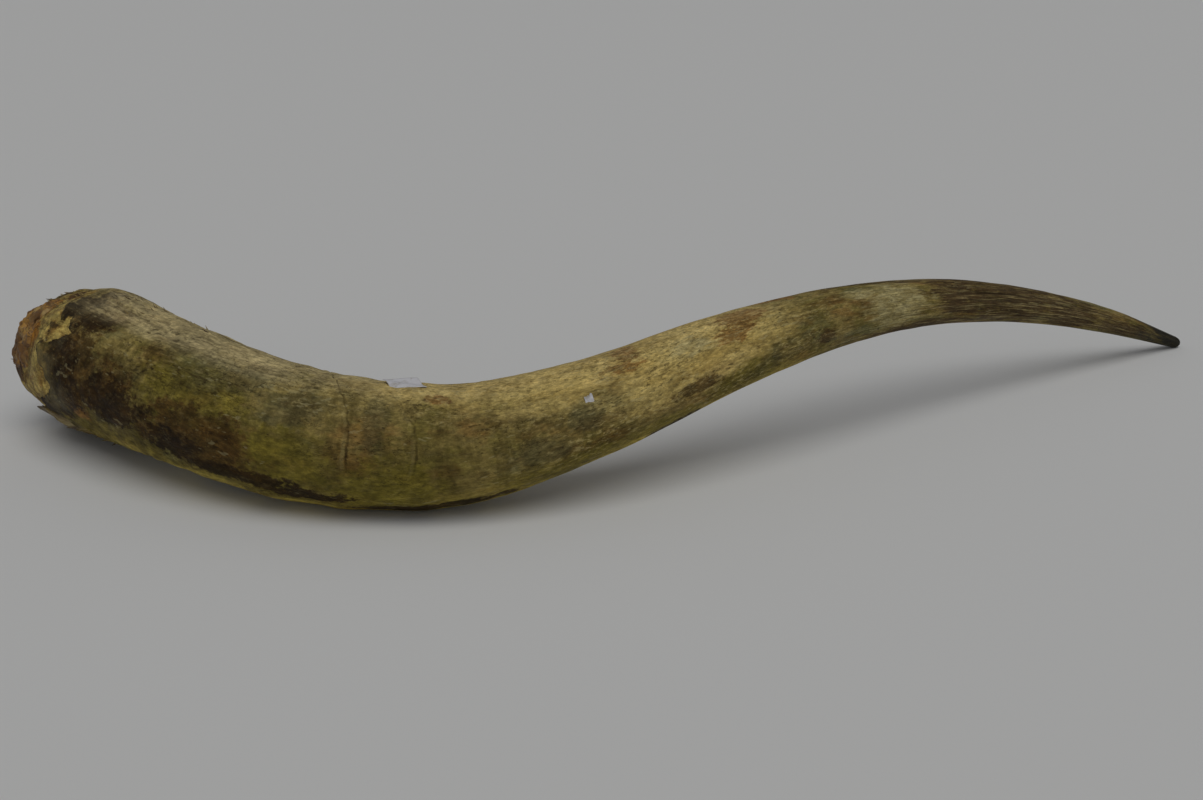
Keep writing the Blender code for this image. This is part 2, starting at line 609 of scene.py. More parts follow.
@dataclass(frozen=True)
class SkinRelief:
    """The fine relief of the outside, in metres: what growth, wear and drying did to the horn.

    The heights of its features come first, then where they are, then the layers that they are made of.
    """

    lump: float = 0.0009
    growth: float = 0.00022
    fibre: float = 0.00060
    split: float = 0.0016
    plate: float = 0.0011
    pit: float = 0.0010
    layer: float = 0.0014
    crack_width: float = 0.0018
    bevel: float = 0.0026
    edge: float = 0.102
    edge_jag: float = 0.018
    edge_step: float = 0.0012
    edge_low_side: tuple[float, float] = (math.radians(98.0), math.radians(142.0))
    edge_low_share: float = 0.92
    edge_far_side: Dip = Dip(math.radians(265.0), math.radians(85.0), 0.05)
    edge_tabs: tuple[Dip, ...] = (
        Dip(math.radians(48.0), math.radians(18.0), 0.028),
        Dip(math.radians(66.0), math.radians(10.0), -0.014),
        Dip(math.radians(90.0), math.radians(20.0), 0.020),
        Dip(math.radians(22.0), math.radians(12.0), -0.008),
    )
    rough_end: tuple[float, float] = (0.20, 0.36)
    slim_start: tuple[float, float] = (0.55, 0.95)
    step_end: tuple[float, float] = (0.13, 0.22)
    tip_start: tuple[float, float] = (1.38, 1.46)
    belly: tuple[float, float, float] = (0.14, 0.62, 0.06)
    crest_turn: float = 0.2
    bevel_turn: float = math.radians(120.0)
    bevel_half_turn: float = math.radians(42.0)
    bevel_end: tuple[float, float] = (0.004, 0.075)
    edge_wave: Grain = Grain(0.5, 9, 5, 0.004)
    edge_jags: tuple[Grain, ...] = (Grain(0.026, 30, 6, 0.6), Grain(0.011, 66, 7, 0.4))
    lean: Grain = Grain(0.12, 5, 3, 0.05)
    swellings: tuple[Grain, ...] = (Grain(0.060, 6, 11), Grain(0.022, 14, 12, 0.5))
    growth_lines: Grain = Grain(0.0075, 3, 21)
    fibres: tuple[Grain, ...] = (Grain(0.110, 60, 31, 0.6), Grain(0.045, 88, 32, 0.4))
    seams: Grain = Grain(0.080, 34, 41)
    split_places: Grain = Grain(0.050, 12, 42)
    scales: tuple[Grain, ...] = (Grain(0.028, 14, 51, 1.8), Grain(0.008, 44, 52, 0.7))
    pitted_places: Grain = Grain(0.040, 9, 61)
    pits: Grain = Grain(0.0070, 64, 62)

    def past_edge(self, along: np.ndarray, turn: np.ndarray) -> np.ndarray:
        """Give how far each place is past the broken edge of the horn's outer layer.

        Args:
            along: Distances along the horn.
            turn: Angles round the horn.

        Returns:
            The distances in metres, negative where the paler inner layer lies bare.
        """
        along, turn = np.broadcast_arrays(along, turn)
        low_side = rise(turn % math.tau, *self.edge_low_side)
        edge = self.edge * (1.0 - self.edge_low_share * low_side) + stand_back((self.edge_far_side,), turn)
        edge = edge + stand_back(self.edge_tabs, turn) + self.edge_wave.at(np.zeros_like(along), turn)
        return along - edge - self.edge_jag * layered(along, turn, self.edge_jags)

    def height(self, along: np.ndarray, turn: np.ndarray) -> np.ndarray:
        """Add up the relief.

        Args:
            along: Distances along the horn, in a column.
            turn: Angles round the horn, in a row.

        Returns:
            How far each place stands out, or in where it is negative.
        """
        rough = 1.0 - rise(along, *self.rough_end)
        slim = rise(along, *self.slim_start)
        crest = 0.5 + 0.5 * np.cos(turn - self.crest_turn)
        lean = turn + self.lean.at(along, turn)
        total = self._lumps(along, turn) * (1.0 + rough)
        total = total + self._fibres(along, lean) * (0.2 + 0.8 * rough * crest + 0.55 * slim)
        total = total - self._splits(along, lean) * (rough * crest + 0.45 * slim)
        total = total + self._plates(along, turn) * rough * (1.0 - 0.6 * crest)
        total = total - self._pits(along, turn) * (0.35 + 0.65 * rough)
        outer = rise(self.past_edge(along, turn), -self.edge_step, self.edge_step) - 0.5
        total = total + self.layer * outer * (1.0 - rise(along, *self.step_end))
        total = total + self._cracks(along, turn)
        return total * (1.0 - rise(along, *self.tip_start))

    def surface(self, along: np.ndarray, turn: np.ndarray) -> np.ndarray:
        """Add the wear low on the near side of the rim to the relief.

        Args:
            along: Distances along the horn, in a column.
            turn: Angles round the horn, in a row.

        Returns:
            How far the skin stands out from the smooth form.
        """
        worn = bump(turn_between(turn, self.bevel_turn), self.bevel_half_turn)
        return self.height(along, turn) - self.bevel * worn * (1.0 - rise(along, *self.bevel_end))

    def _lumps(self, along: np.ndarray, turn: np.ndarray) -> np.ndarray:
        """Swell the horn unevenly, with faint growth lines round its belly."""
        lumps = layered(along, turn, self.swellings)
        lines = self.growth_lines.at(along - 0.03 * np.cos(turn - 1.0), turn)
        return 0.5 * self.lump * lumps + self.growth * stretch_between(along, *self.belly) * lines

    def _fibres(self, along: np.ndarray, turn: np.ndarray) -> np.ndarray:
        """Raise the fibres."""
        return self.fibre * layered(along, turn, self.fibres)

    def _splits(self, along: np.ndarray, turn: np.ndarray) -> np.ndarray:
        """Open splits between the fibres, here and there."""
        seam = np.abs(self.seams.at(along, turn))
        wanted = rise(self.split_places.at(along, turn), -0.1, 0.5)
        return self.split * wanted * (1.0 - rise(seam, 0.03, 0.20))

    def _plates(self, along: np.ndarray, turn: np.ndarray) -> np.ndarray:
        """Break the surface into scales."""
        scale = layered(along, turn, self.scales)
        part = scale - np.floor(scale)
        return 0.5 * self.plate * (np.floor(scale) + rise(part, 0.40, 0.60))

    def _pits(self, along: np.ndarray, turn: np.ndarray) -> np.ndarray:
        """Sink small pits where the surface is weathered."""
        pitted = rise(self.pitted_places.at(along, turn), -0.3, 0.4)
        return self.pit * pitted * rise(self.pits.at(along, turn), 0.45, 0.80)

    def _cracks(self, along: np.ndarray, turn: np.ndarray) -> np.ndarray:
        """Open the cracks, with a swelling on the base's side of each."""
        total = 0.0
        for crack in CRACKS:
            gap = crack.gap(along, turn)
            groove = bump(gap, self.crack_width)
            swelling = 0.7 * bump(gap + 2.0 * self.crack_width, 2.4 * self.crack_width)
            total = total + crack.depth * crack.strength(turn) * (swelling - groove)
        return total


def object_from(
    name: str, points: np.ndarray, faces: np.ndarray, numbers: dict[str, np.ndarray]
) -> bpy.types.Object:
    """Make an object from points, faces and the numbers its finish reads.

    Args:
        name: The object's name.
        points: The corners, one row each.
        faces: The corners of each face, counted from 0.
        numbers: Values for each corner by name, one or three for each.

    Returns:
        The new object, in the scene.
    """
    mesh = bpy.data.meshes.new(name)
    mesh.from_pydata(points.reshape(-1, 3).tolist(), [], faces.tolist())
    for label, values in numbers.items():
        is_vector = values.ndim > 1 and values.shape[-1] == 3 and values.size == points.size
        layer = mesh.attributes.new(label, "FLOAT_VECTOR" if is_vector else "FLOAT", "POINT")
        layer.data.foreach_set("vector" if is_vector else "value", values.astype(np.float32).ravel())
    mesh.shade_smooth()
    mesh.update()
    thing = bpy.data.objects.new(name, mesh)
    bpy.context.scene.collection.objects.link(thing)
    return thing


def ring_faces(rings: int, columns: int) -> np.ndarray:
    """List the faces between closed rings of points.

    Args:
        rings: The number of rings.
        columns: The number of points in each.

    Returns:
        Four corners for each face.
    """
    first = np.arange(rings - 1)[:, None] * columns
    here = np.arange(columns)[None, :]
    after = (here + 1) % columns
    corners = (first + here, first + after, first + columns + after, first + columns + here)
    return np.stack(corners, axis=-1).reshape(-1, 4)


def slab(
    name: str, top: np.ndarray, bottom: np.ndarray, numbers: dict[str, np.ndarray]
) -> bpy.types.Object:
    """Make a thin closed piece from a grid of points on each of its sides.

    Args:
        name: The piece's name.
        top: The outer side's points, by row and column.
        bottom: The inner side's points, in the same order.
        numbers: Values for each of the outer points, which the inner ones share.

    Returns:
        The new piece, in the scene.
    """
    rows, columns = top.shape[:2]
    index = np.arange(rows * columns).reshape(rows, columns)
    corners = (index[:-1, :-1], index[:-1, 1:], index[1:, 1:], index[1:, :-1])
    upper = np.stack(corners, axis=-1).reshape(-1, 4)
    lower = upper[:, ::-1] + rows * columns
    border = np.concatenate([index[0], index[1:, -1], index[-1, -2::-1], index[-2:0:-1, 0]])
    after = np.roll(border, -1)
    walls = np.stack([after, border, border + rows * columns, after + rows * columns], axis=-1)
    both = {}
    for label, values in numbers.items():
        flat = np.asarray(values).reshape(rows * columns, -1)
        both[label] = np.concatenate([flat, flat]).squeeze()
    points = np.concatenate([top.reshape(-1, 3), bottom.reshape(-1, 3)])
    piece = object_from(name, points, np.concatenate([upper, lower, walls]), both)
    bm = bmesh.new()
    bm.from_mesh(piece.data)
    bmesh.ops.recalc_face_normals(bm, faces=bm.faces)
    bm.to_mesh(piece.data)
    bm.free()
    return piece


def grain_vector(along: np.ndarray, turn: np.ndarray) -> np.ndarray:
    """Give the place that a pattern reads, which has no seam round the horn.

    Args:
        along: Distances along the horn.
        turn: Angles round the horn.

    Returns:
        Three values for each place, the last of them the distance along.
    """
    along, turn = np.broadcast_arrays(along, turn)
    return np.stack([GRAIN_RADIUS * np.cos(turn), GRAIN_RADIUS * np.sin(turn), along], axis=-1)


@dataclass
class Sheath:
    """The horn itself: one skin, in through the hollow, over the torn rim and out to the tip."""

    form: HornForm
    relief: SkinRelief = SkinRelief()
    columns: int = 196
    row_steps: tuple[tuple[float, float], ...] = (
        (0.012, 0.0012),
        (0.130, 0.0020),
        (0.370, 0.0030),
        (0.440, 0.0018),
        (0.470, 0.0034),
        (0.490, 0.0020),
        (0.800, 0.0044),
        (1.440, 0.0060),
        (1.500, 0.0034),
    )
    hollow_rings: int = 40
    lip_rings: int = 5
    tip_rings: int = 8
    tooth: float = 0.0016
    torn_turn: float = math.radians(140.0)
    torn_half_turn: float = math.radians(60.0)
    ragged_end: float = 0.014
    lip_depth: float = 0.0012
    hollow_end: float = 0.9995
    hollow_crowding: float = 1.6
    smooth_below: float = 0.02
    teeth: tuple[Grain, ...] = (Grain(0.5, 70, 101), Grain(0.5, 31, 102, 0.8))
    furrows: tuple[Grain, ...] = (Grain(0.16, 40, 91, 0.0007), Grain(0.03, 12, 92, 0.0008))
    lip_roughness: Grain = Grain(0.15, 90, 95, 0.0009)
    clumps: Grain = Grain(0.018, 24, 111)

    def build(self, finishes: Sequence[bpy.types.Material]) -> bpy.types.Object:
        """Make the sheath and dress it.

        Args:
            finishes: The finish of the outside, and that of the hollow.

        Returns:
            The finished piece.
        """
        turn = (math.tau * np.arange(self.columns) / self.columns)[None, :]
        outer_along = self._rows()
        teeth = self._teeth(turn)
        height = self.relief.height(outer_along, turn)
        radius = self.form.outside(outer_along, turn) + self.relief.surface(outer_along, turn)
        outer = self.form.place(outer_along, turn, radius, self._fading(teeth, outer_along))
        dome = self.form.dome(turn, self.tip_rings)

        inner_along = self._hollow_rows()
        hollow = self.form.hollow(inner_along)
        furrow = layered(inner_along, turn, self.furrows) * np.minimum(hollow / self.smooth_below, 1.0)
        inner_radius = hollow + furrow
        inner = self.form.place(inner_along, turn, inner_radius, self._fading(teeth, inner_along))

        lip_share = (np.arange(1, self.lip_rings + 1) / (self.lip_rings + 1))[:, None]
        lip_along = np.zeros_like(lip_share)
        lip_radius = inner_radius[-1] + (radius[0] - inner_radius[-1]) * lip_share
        bulge = (self.lip_roughness.at(lip_share, turn) - self.lip_depth) * np.sin(math.pi * lip_share)
        lip = self.form.place(lip_along, turn, lip_radius, teeth + bulge)

        points = np.concatenate([inner, lip, outer, dome])
        points[..., 2] = np.maximum(points[..., 2], self.form.low[2])
        dome_along = np.full((self.tip_rings, 1), self.form.length)
        along = np.concatenate([inner_along, lip_along, outer_along, dome_along])
        first_outer = len(inner) + len(lip)
        relief = np.zeros(points.shape[:2])
        relief[first_outer : first_outer + len(outer)] = height
        numbers = {"grain": grain_vector(along, turn), "relief": MILLIMETRES * relief}
        numbers["past edge"] = MILLIMETRES * self.relief.past_edge(along, turn)
        numbers["crack gap"], numbers["crack"] = self._crack_fields(along, turn)
        numbers["loose"] = self._loose_field(along, turn)
        numbers["ahead"] = np.broadcast_to(self.form.frames(along).forward, points.shape)
        for zone in Zone:
            numbers[zone.value] = self.zone_field(zone, along, turn)

        faces = ring_faces(len(points), self.columns)
        flat = points.reshape(-1, 3)
        if self._volume(flat, faces) < 0.0:
            faces = faces[:, ::-1]
        sheath = object_from("horn_sheath", flat, faces, numbers)
        for finish in finishes:
            sheath.data.materials.append(finish)
        slots = (np.arange(len(faces)) < first_outer * self.columns).astype(np.int32)
        sheath.data.polygons.foreach_set("material_index", slots)
        self._close_ends(sheath, len(points))
        return sheath

    def _rows(self) -> np.ndarray:
        """Place the outside's rings, closer together where there is more to show."""
        places = [0.0]
        for end, step in self.row_steps:
            count = max(round((min(end, self.form.length) - places[-1]) / step), 1)
            places += list(np.linspace(places[-1], min(end, self.form.length), count + 1)[1:])
        places[-1] = self.form.length
        return np.array(places)[:, None]

    def _hollow_rows(self) -> np.ndarray:
        """Place the hollow's rings, from its blunt end to the rim."""
        share = np.linspace(1.0, 0.0, self.hollow_rings) ** self.hollow_crowding
        return (self.form.hollow_length * self.hollow_end * share)[:, None]

    def _teeth(self, turn: np.ndarray) -> np.ndarray:
        """Give the rim's fine raggedness, coarsest low on the near side.

        Args:
            turn: Angles round the horn, in a row.

        Returns:
            How far each place on the rim stands back.
        """
        torn = 0.45 + 0.9 * bump(turn_between(turn, self.torn_turn), self.torn_half_turn)
        return self.tooth * torn * layered(np.zeros((1, 1)), turn, self.teeth)

    def _fading(self, teeth: np.ndarray, along: np.ndarray) -> np.ndarray:
        """Let the rim's raggedness fade along the horn."""
        return teeth * (1.0 - rise(along, 0.0, self.ragged_end))

    @staticmethod
    def _crack_fields(along: np.ndarray, turn: np.ndarray) -> tuple[np.ndarray, np.ndarray]:
        """Find the nearest crack to each place.

        Args:
            along: Distances along the horn.
            turn: Angles round the horn.

        Returns:
            How far along from that crack each place is, in millimetres, and how open the crack is, 0 to 1.
        """
        along, turn = np.broadcast_arrays(along, turn)
        gaps = np.stack([crack.gap(along, turn) for crack in CRACKS])
        deepest = max(crack.depth for crack in CRACKS)
        strengths = np.stack([crack.strength(turn) * math.sqrt(crack.depth / deepest) for crack in CRACKS])
        nearest = np.argmin(np.abs(gaps), axis=0)[None]
        gap, strength = (np.take_along_axis(values, nearest, 0)[0] for values in (gaps, strengths))
        return MILLIMETRES * gap, strength

    def _loose_field(self, along: np.ndarray, turn: np.ndarray) -> np.ndarray:
        """Give how many slivers stand up at each place, 0 to 1.

        Args:
            along: Distances along the horn.
            turn: Angles round the horn.

        Returns:
            Most at the rim, along the layer's broken edge and low on the torn side.
        """
        along, turn = np.broadcast_arrays(along, turn)
        rim = 1.0 - rise(along, 0.002, 0.010)
        edge = bump(self.relief.past_edge(along, turn), 0.004)
        torn = bump(turn_between(turn, math.radians(148.0)), math.radians(26.0))
        torn = torn * (1.0 - rise(along, 0.12, 0.24))
        crest = bump(turn_between(turn, 0.0), math.radians(40.0)) * (1.0 - rise(along, 0.20, 0.30))
        clumps = rise(self.clumps.at(along, turn), 0.0, 0.6)
        return clumps * np.maximum.reduce([0.8 * rim, 0.8 * edge, torn, 0.4 * crest])

    @staticmethod
    def zone_field(zone: Zone, along: np.ndarray, turn: np.ndarray) -> np.ndarray:
        """Weigh how deep in a zone's patches each place is.

        Args:
            zone: The zone.
            along: Distances along the horn.
            turn: Angles round the horn.

        Returns:
            1 in the middle of a patch, 0.5 at its stated edge and 0 well outside.
        """
        along, turn = np.broadcast_arrays(along, turn)
        total = np.zeros(along.shape)
        for mark in MARKS[zone]:
            sideways = np.degrees(turn_between(turn, math.radians(mark.turn))) / mark.width
            reach = ((along - mark.along) / mark.length) ** 2 + sideways**2
            total = np.maximum(total, np.clip(1.0 - 0.5 * reach, 0.0, 1.0))
        return total

    @staticmethod
    def _volume(points: np.ndarray, faces: np.ndarray) -> float:
        """Give the signed volume between the faces and the origin."""
        one, two, three, four = (points[faces[:, corner]] for corner in range(4))
        halves = np.cross(two - one, three - one) + np.cross(three - one, four - one)
        return float(np.einsum("ij,ij->", one, halves))

    def _close_ends(self, sheath: bpy.types.Object, rings: int) -> None:
        """Close the hollow's end and the tip.

        Args:
            sheath: The sheath.
            rings: The number of its rings.
        """
        bm = bmesh.new()
        bm.from_mesh(sheath.data)
        for ring in (rings - 1, 0):
            bm.verts.ensure_lookup_table()
            corners = [bm.verts[ring * self.columns + column] for column in range(self.columns)]
            middle = sum((corner.co for corner in corners), Vector()) / len(corners)
            bmesh.ops.pointmerge(bm, verts=corners, merge_co=middle)
        bm.to_mesh(sheath.data)
        bm.free()


@dataclass
class RimTissue:
    """The crust of dried tissue that hangs over the rim, thin at its ragged border."""

    form: HornForm
    relief: SkinRelief = SkinRelief()
    first_turn: float = math.radians(6.0)
    last_turn: float = math.radians(112.0)
    reach: float = 0.060
    over_lip: float = 0.0035
    thickness: float = 0.0034
    lip_share: float = 0.12
    sunk: float = 0.0010
    depth: float = 0.0022
    lip_depth: float = 0.0024
    rows: int = 64
    columns: int = 120
    shreds: tuple[Grain, ...] = (Grain(0.016, 26, 121, 0.30), Grain(0.005, 70, 122, 0.22))
    lumps: tuple[Grain, ...] = (Grain(0.009, 50, 123, 0.5), Grain(0.004, 96, 124, 0.4))

    def build(self, finish: bpy.types.Material) -> bpy.types.Object:
        """Make the crust.

        Args:
            finish: The crust's finish.

        Returns:
            The finished piece.
        """
        share = np.linspace(0.0, 1.0, self.rows)[:, None]
        turn = np.linspace(self.first_turn, self.last_turn, self.columns)[None, :]
        along = np.maximum(self.reach * (share - self.lip_share) / (1.0 - self.lip_share), 0.0)
        inward = self.over_lip * np.maximum(1.0 - share / self.lip_share, 0.0)
        skin = self.form.outside(along, turn) + self.relief.surface(along, turn) - inward
        weight = Sheath.zone_field(Zone.TISSUE, along, turn) + layered(along, turn, self.shreds)
        sideways = 2.0 * np.linspace(0.0, 1.0, self.columns) - 1.0
        border = np.minimum(share, 1.0 - share) * (1.0 - np.abs(sideways) ** 6)
        cover = rise(weight, 0.36, 0.80) * rise(border, 0.0, 0.04)
        raised = self.thickness * cover * (1.0 + layered(along, turn, self.lumps)) - self.sunk
        lip = rise(self.lip_share - share, 0.0, 0.08)
        ahead = 0.0004 - 0.6 * lip * (raised + self.sunk)
        top = self.form.place(along, turn, skin + raised * (1.0 - 0.5 * lip), ahead)
        bottom = self.form.place(along, turn, skin - self.depth, self.lip_depth * lip)
        numbers = {
            "grain": grain_vector(along, turn),
            "relief": MILLIMETRES * raised,
            Zone.RIND.value: Sheath.zone_field(Zone.RIND, along, turn),
        }
        crust = slab("rim_tissue", top, bottom, numbers)
        crust.data.materials.append(finish)
        return crust


@dataclass
class TornFlake:
    """The tongue of horn that has torn loose low on the rim and curls away from it."""

    form: HornForm
    root_turn: float = math.radians(134.0)
    tip_turn: float = math.radians(123.0)
    half_turn: float = math.radians(11.0)
    root: float = 0.138
    tip: float = 0.046
    thickness: float = 0.0026
    thinning: float = 0.6
    narrowing: float = 0.85
    lift: float = 0.0050
    sunk: float = 0.0022
    rows: int = 40
    columns: int = 12
    jags: Grain = Grain(0.0040, 6, 131, 0.22)
    wrinkles: Grain = Grain(0.006, 60, 132, 0.0004)

    def build(self, finish: bpy.types.Material) -> bpy.types.Object:
        """Make the tongue.

        Args:
            finish: The finish of split horn.

        Returns:
            The finished piece.
        """
        share = np.linspace(0.0, 1.0, self.rows)[:, None]
        across = np.linspace(-1.0, 1.0, self.columns)[None, :]
        taper = 1.0 - self.narrowing * share**2.2
        jagged = 1.0 + self.jags.at(0.05 * share, np.zeros((1, 1)))
        turn = self.root_turn + (self.tip_turn - self.root_turn) * share
        turn = turn + self.half_turn * across * taper * jagged
        along = self.root + (self.tip - self.root) * share
        away = -self.sunk + (self.lift + self.sunk) * share**0.7 + self.wrinkles.at(along, turn)
        outer = self.form.outside(along, turn) + away
        thin = self.thickness * (1.0 - self.thinning * share)
        set_back = -self.form.set_back(along, turn)
        top = self.form.place(along, turn, outer, set_back)
        bottom = self.form.place(along, turn, outer - thin, set_back)
        flake = slab("torn_flake", top, bottom, {"grain": grain_vector(along, turn)})
        flake.data.materials.append(finish)
        return flake


@dataclass
class Slivers:
    """Loose slivers of horn that stand up where the surface is torn, spread by Geometry Nodes."""

    density: float = 56000.0
    length: float = 0.0095
    radius: float = 0.00060
    lift: float = 0.32
    stray: float = 0.30
    seed: int = 7
    smallest: float = 0.35
    flatness: float = 1.8
    sunk: float = 0.0006
    sides: int = 5
    segments: int = 2
    tip: float = 0.12

    def build(self, sheath: bpy.types.Object, finish: bpy.types.Material) -> bpy.types.Object:
        """Make the slivers.

        Args:
            sheath: The horn that they stand on.
            finish: The finish of split horn.

        Returns:
            The finished piece.
        """
        piece = bpy.data.objects.new("slivers", sheath.data)
        bpy.context.scene.collection.objects.link(piece)
        modifier = piece.modifiers.new("slivers", "NODES")
        modifier.node_group = self._tree(finish)
        values = {"Density": self.density, "Length": self.length, "Radius": self.radius, "Lift": self.lift}
        values |= {"Stray": self.stray, "Seed": self.seed}
        for item in modifier.node_group.interface.items_tree:
            if item.in_out == "INPUT" and item.name in values:
                modifier[item.identifier] = values[item.name]
        evaluated = piece.evaluated_get(bpy.context.evaluated_depsgraph_get())
        mesh = bpy.data.meshes.new_from_object(evaluated)
        bpy.data.objects.remove(piece, do_unlink=True)
        mesh.name = "slivers"
        slivers = bpy.data.objects.new("slivers", mesh)
        bpy.context.scene.collection.objects.link(slivers)
        return slivers

    def _tree(self, finish: bpy.types.Material) -> bpy.types.NodeTree:
        """Write the rule that spreads the slivers.

        Args:
            finish: The slivers' finish.

        Returns:
            The node tree.
        """
        tree = bpy.data.node_groups.new("stand up slivers", "GeometryNodeTree")
        face = tree.interface
        face.new_socket(name="Geometry", in_out="INPUT", socket_type="NodeSocketGeometry")
        for label in ("Density", "Length", "Radius", "Lift", "Stray"):
            face.new_socket(name=label, in_out="INPUT", socket_type="NodeSocketFloat")
        face.new_socket(name="Seed", in_out="INPUT", socket_type="NodeSocketInt")
        face.new_socket(name="Geometry", in_out="OUTPUT", socket_type="NodeSocketGeometry")
        wiring = Wiring(tree)
        given, result = wiring.add("NodeGroupInput"), wiring.add("NodeGroupOutput")

        loose = wiring.add("GeometryNodeInputNamedAttribute", data_type="FLOAT")
        loose.inputs["Name"].default_value = "loose"
        spread = wiring.add("GeometryNodeDistributePointsOnFaces", distribute_method="RANDOM")
        wiring.feed(spread.inputs["Mesh"], given.outputs["Geometry"])
        crowded = wiring.times(given.outputs["Density"], loose.outputs[0])
        wiring.feed(spread.inputs["Density"], crowded)
        wiring.feed(spread.inputs["Seed"], given.outputs["Seed"])

        ahead = wiring.add("GeometryNodeInputNamedAttribute", data_type="FLOAT_VECTOR")
        ahead.inputs["Name"].default_value = "ahead"
        back = wiring.vector("SCALE", ahead.outputs[0], -1.0)
        outward = wiring.vector("SCALE", spread.outputs["Normal"], given.outputs["Lift"])
        stray = wiring.add("FunctionNodeRandomValue", data_type="FLOAT_VECTOR")
        stray.inputs["Min"].default_value = (-1.0, -1.0, -1.0)
        wiring.feed(stray.inputs["Seed"], given.outputs["Seed"])
        strayed = wiring.vector("SCALE", stray.outputs["Value"], given.outputs["Stray"])
        lean = wiring.vector("ADD", wiring.vector("ADD", back, outward), strayed)
        turned = wiring.add("FunctionNodeAlignRotationToVector", axis="Z")
        wiring.feed(turned.inputs["Vector"], lean)

        size = wiring.add("FunctionNodeRandomValue", data_type="FLOAT")
        size.inputs[2].default_value = self.smallest
        size.inputs[3].default_value = 1.0
        long = wiring.times(given.outputs["Length"], size.outputs[1])
        wide = wiring.times(given.outputs["Radius"], size.outputs[1])
        scale = wiring.add("ShaderNodeCombineXYZ")
        wiring.feed(scale.inputs[0], wiring.times(wide, self.flatness))
        wiring.feed(scale.inputs[1], wide)
        wiring.feed(scale.inputs[2], long)

        sunk = wiring.add("GeometryNodeSetPosition")
        wiring.feed(sunk.inputs["Geometry"], spread.outputs["Points"])
        wiring.feed(sunk.inputs["Offset"], wiring.vector("SCALE", spread.outputs["Normal"], -self.sunk))
        sliver = wiring.add("GeometryNodeMeshCone")
        sliver.inputs["Vertices"].default_value = self.sides
        sliver.inputs["Side Segments"].default_value = self.segments
        sliver.inputs["Radius Top"].default_value = self.tip
        sliver.inputs["Radius Bottom"].default_value = 1.0
        sliver.inputs["Depth"].default_value = 1.0
        planted = wiring.add("GeometryNodeInstanceOnPoints")
        wiring.feed(planted.inputs["Points"], sunk.outputs[0])
        wiring.feed(planted.inputs["Instance"], sliver.outputs["Mesh"])
        wiring.feed(planted.inputs["Rotation"], turned.outputs[0])
        wiring.feed(planted.inputs["Scale"], scale.outputs[0])
        real = wiring.add("GeometryNodeRealizeInstances")
        wiring.feed(real.inputs[0], planted.outputs[0])
        dressed = wiring.add("GeometryNodeSetMaterial")
        dressed.inputs["Material"].default_value = finish
        wiring.feed(dressed.inputs["Geometry"], real.outputs[0])
        wiring.feed(result.inputs[0], dressed.outputs[0])
        return tree


@dataclass
class PaperScraps:
    """Two blank scraps of paper stuck to the horn: a flat slip on its top and a torn shred on its side."""

    form: HornForm
    relief: SkinRelief = SkinRelief()
    slip_along: float = 0.468
    slip_turn: float = math.radians(6.0)
    slip_length: float = 0.030
    slip_width: float = 0.019
    slip_shear: float = 0.011
    shred_along: float = 0.621
    shred_turn: float = math.radians(59.0)
    shred_size: float = 0.0072
    thickness: float = 0.00035
    slip_gap: float = 0.0006
    slip_overlap: float = 0.001
    slip_curl: float = 0.0010
    shred_gap: float = 0.0005
    shred_curl: float = 0.002
    steps: int = 20
    tears: Grain = Grain(0.0035, 5, 142, 0.3)

    def build(self, finish: bpy.types.Material) -> list[bpy.types.Object]:
        """Make both scraps.

        Args:
            finish: The paper's finish.

        Returns:
            The finished pieces.
        """
        scraps = [self._slip(), self._shred()]
        for scrap in scraps:
            scrap.data.materials.append(finish)
        return scraps

    def _slip(self) -> bpy.types.Object:
        """Lay the slip flat on the horn's top, so that its far edge stands clear behind the crest."""
        down = np.linspace(-0.5, 0.5, self.steps)[:, None, None]
        back = np.linspace(0.0, 1.0, self.steps)[None, :, None]
        frames = self.form.frames(np.array([self.slip_along]))
        outward = math.cos(self.slip_turn) * frames.up[0] + math.sin(self.slip_turn) * frames.side[0]
        level = np.cross(outward, frames.forward[0])
        level *= np.sign(level[1])
        touch = self.form.outside(np.array([[self.slip_along]]), np.array([[self.slip_turn]]))[0, 0]
        corner = frames.middle[0] + (touch + self.slip_gap) * outward - self.slip_overlap * level
        curl = self.slip_curl * np.sin(2.0 * math.pi * (back + 0.6 * down))
        ahead = self.slip_length * down - self.slip_shear * (back - 0.5)
        top = corner + ahead * frames.forward[0] + self.slip_width * back * level + curl * outward
        return slab("paper_slip", top, top - self.thickness * outward, {"grain": top})

    def _shred(self) -> bpy.types.Object:
        """Stick the torn shred to the near side."""
        down = np.linspace(-0.5, 0.5, self.steps)[:, None]
        across = np.linspace(-0.5, 0.5, self.steps)[None, :]
        radius = float(self.form.frames(np.array([self.shred_along])).radius[0])
        torn = 1.0 + self.tears.at(0.02 * (down + 0.5), np.zeros((1, 1)))
        notch = 0.35 * bump(down - 0.12, 0.16) * rise(-across, 0.1, 0.5)
        rows = self.shred_along + self.shred_size * down
        wide = torn * (0.75 + 0.5 * (down + 0.5)) * (1.0 - notch)
        rows, turns = np.broadcast_arrays(rows, self.shred_turn + self.shred_size / radius * across * wide)
        skin = self.form.outside(rows, turns) + self.relief.height(rows, turns)
        outer = skin + self.shred_gap - self.shred_curl * across
        top = self.form.place(rows, turns, outer)
        bottom = self.form.place(rows, turns, outer - self.thickness)
        return slab("paper_shred", top, bottom, {"grain": grain_vector(rows, turns)})


class Cloud(NamedTuple):
    """A cloudy pattern on the horn.

    It is drawn out and moved along the horn, has so many clouds in a metre, and so many finer layers of
    some strength.
    """

    stretch: float
    offset: float
    size: float
    detail: float
    roughness: float


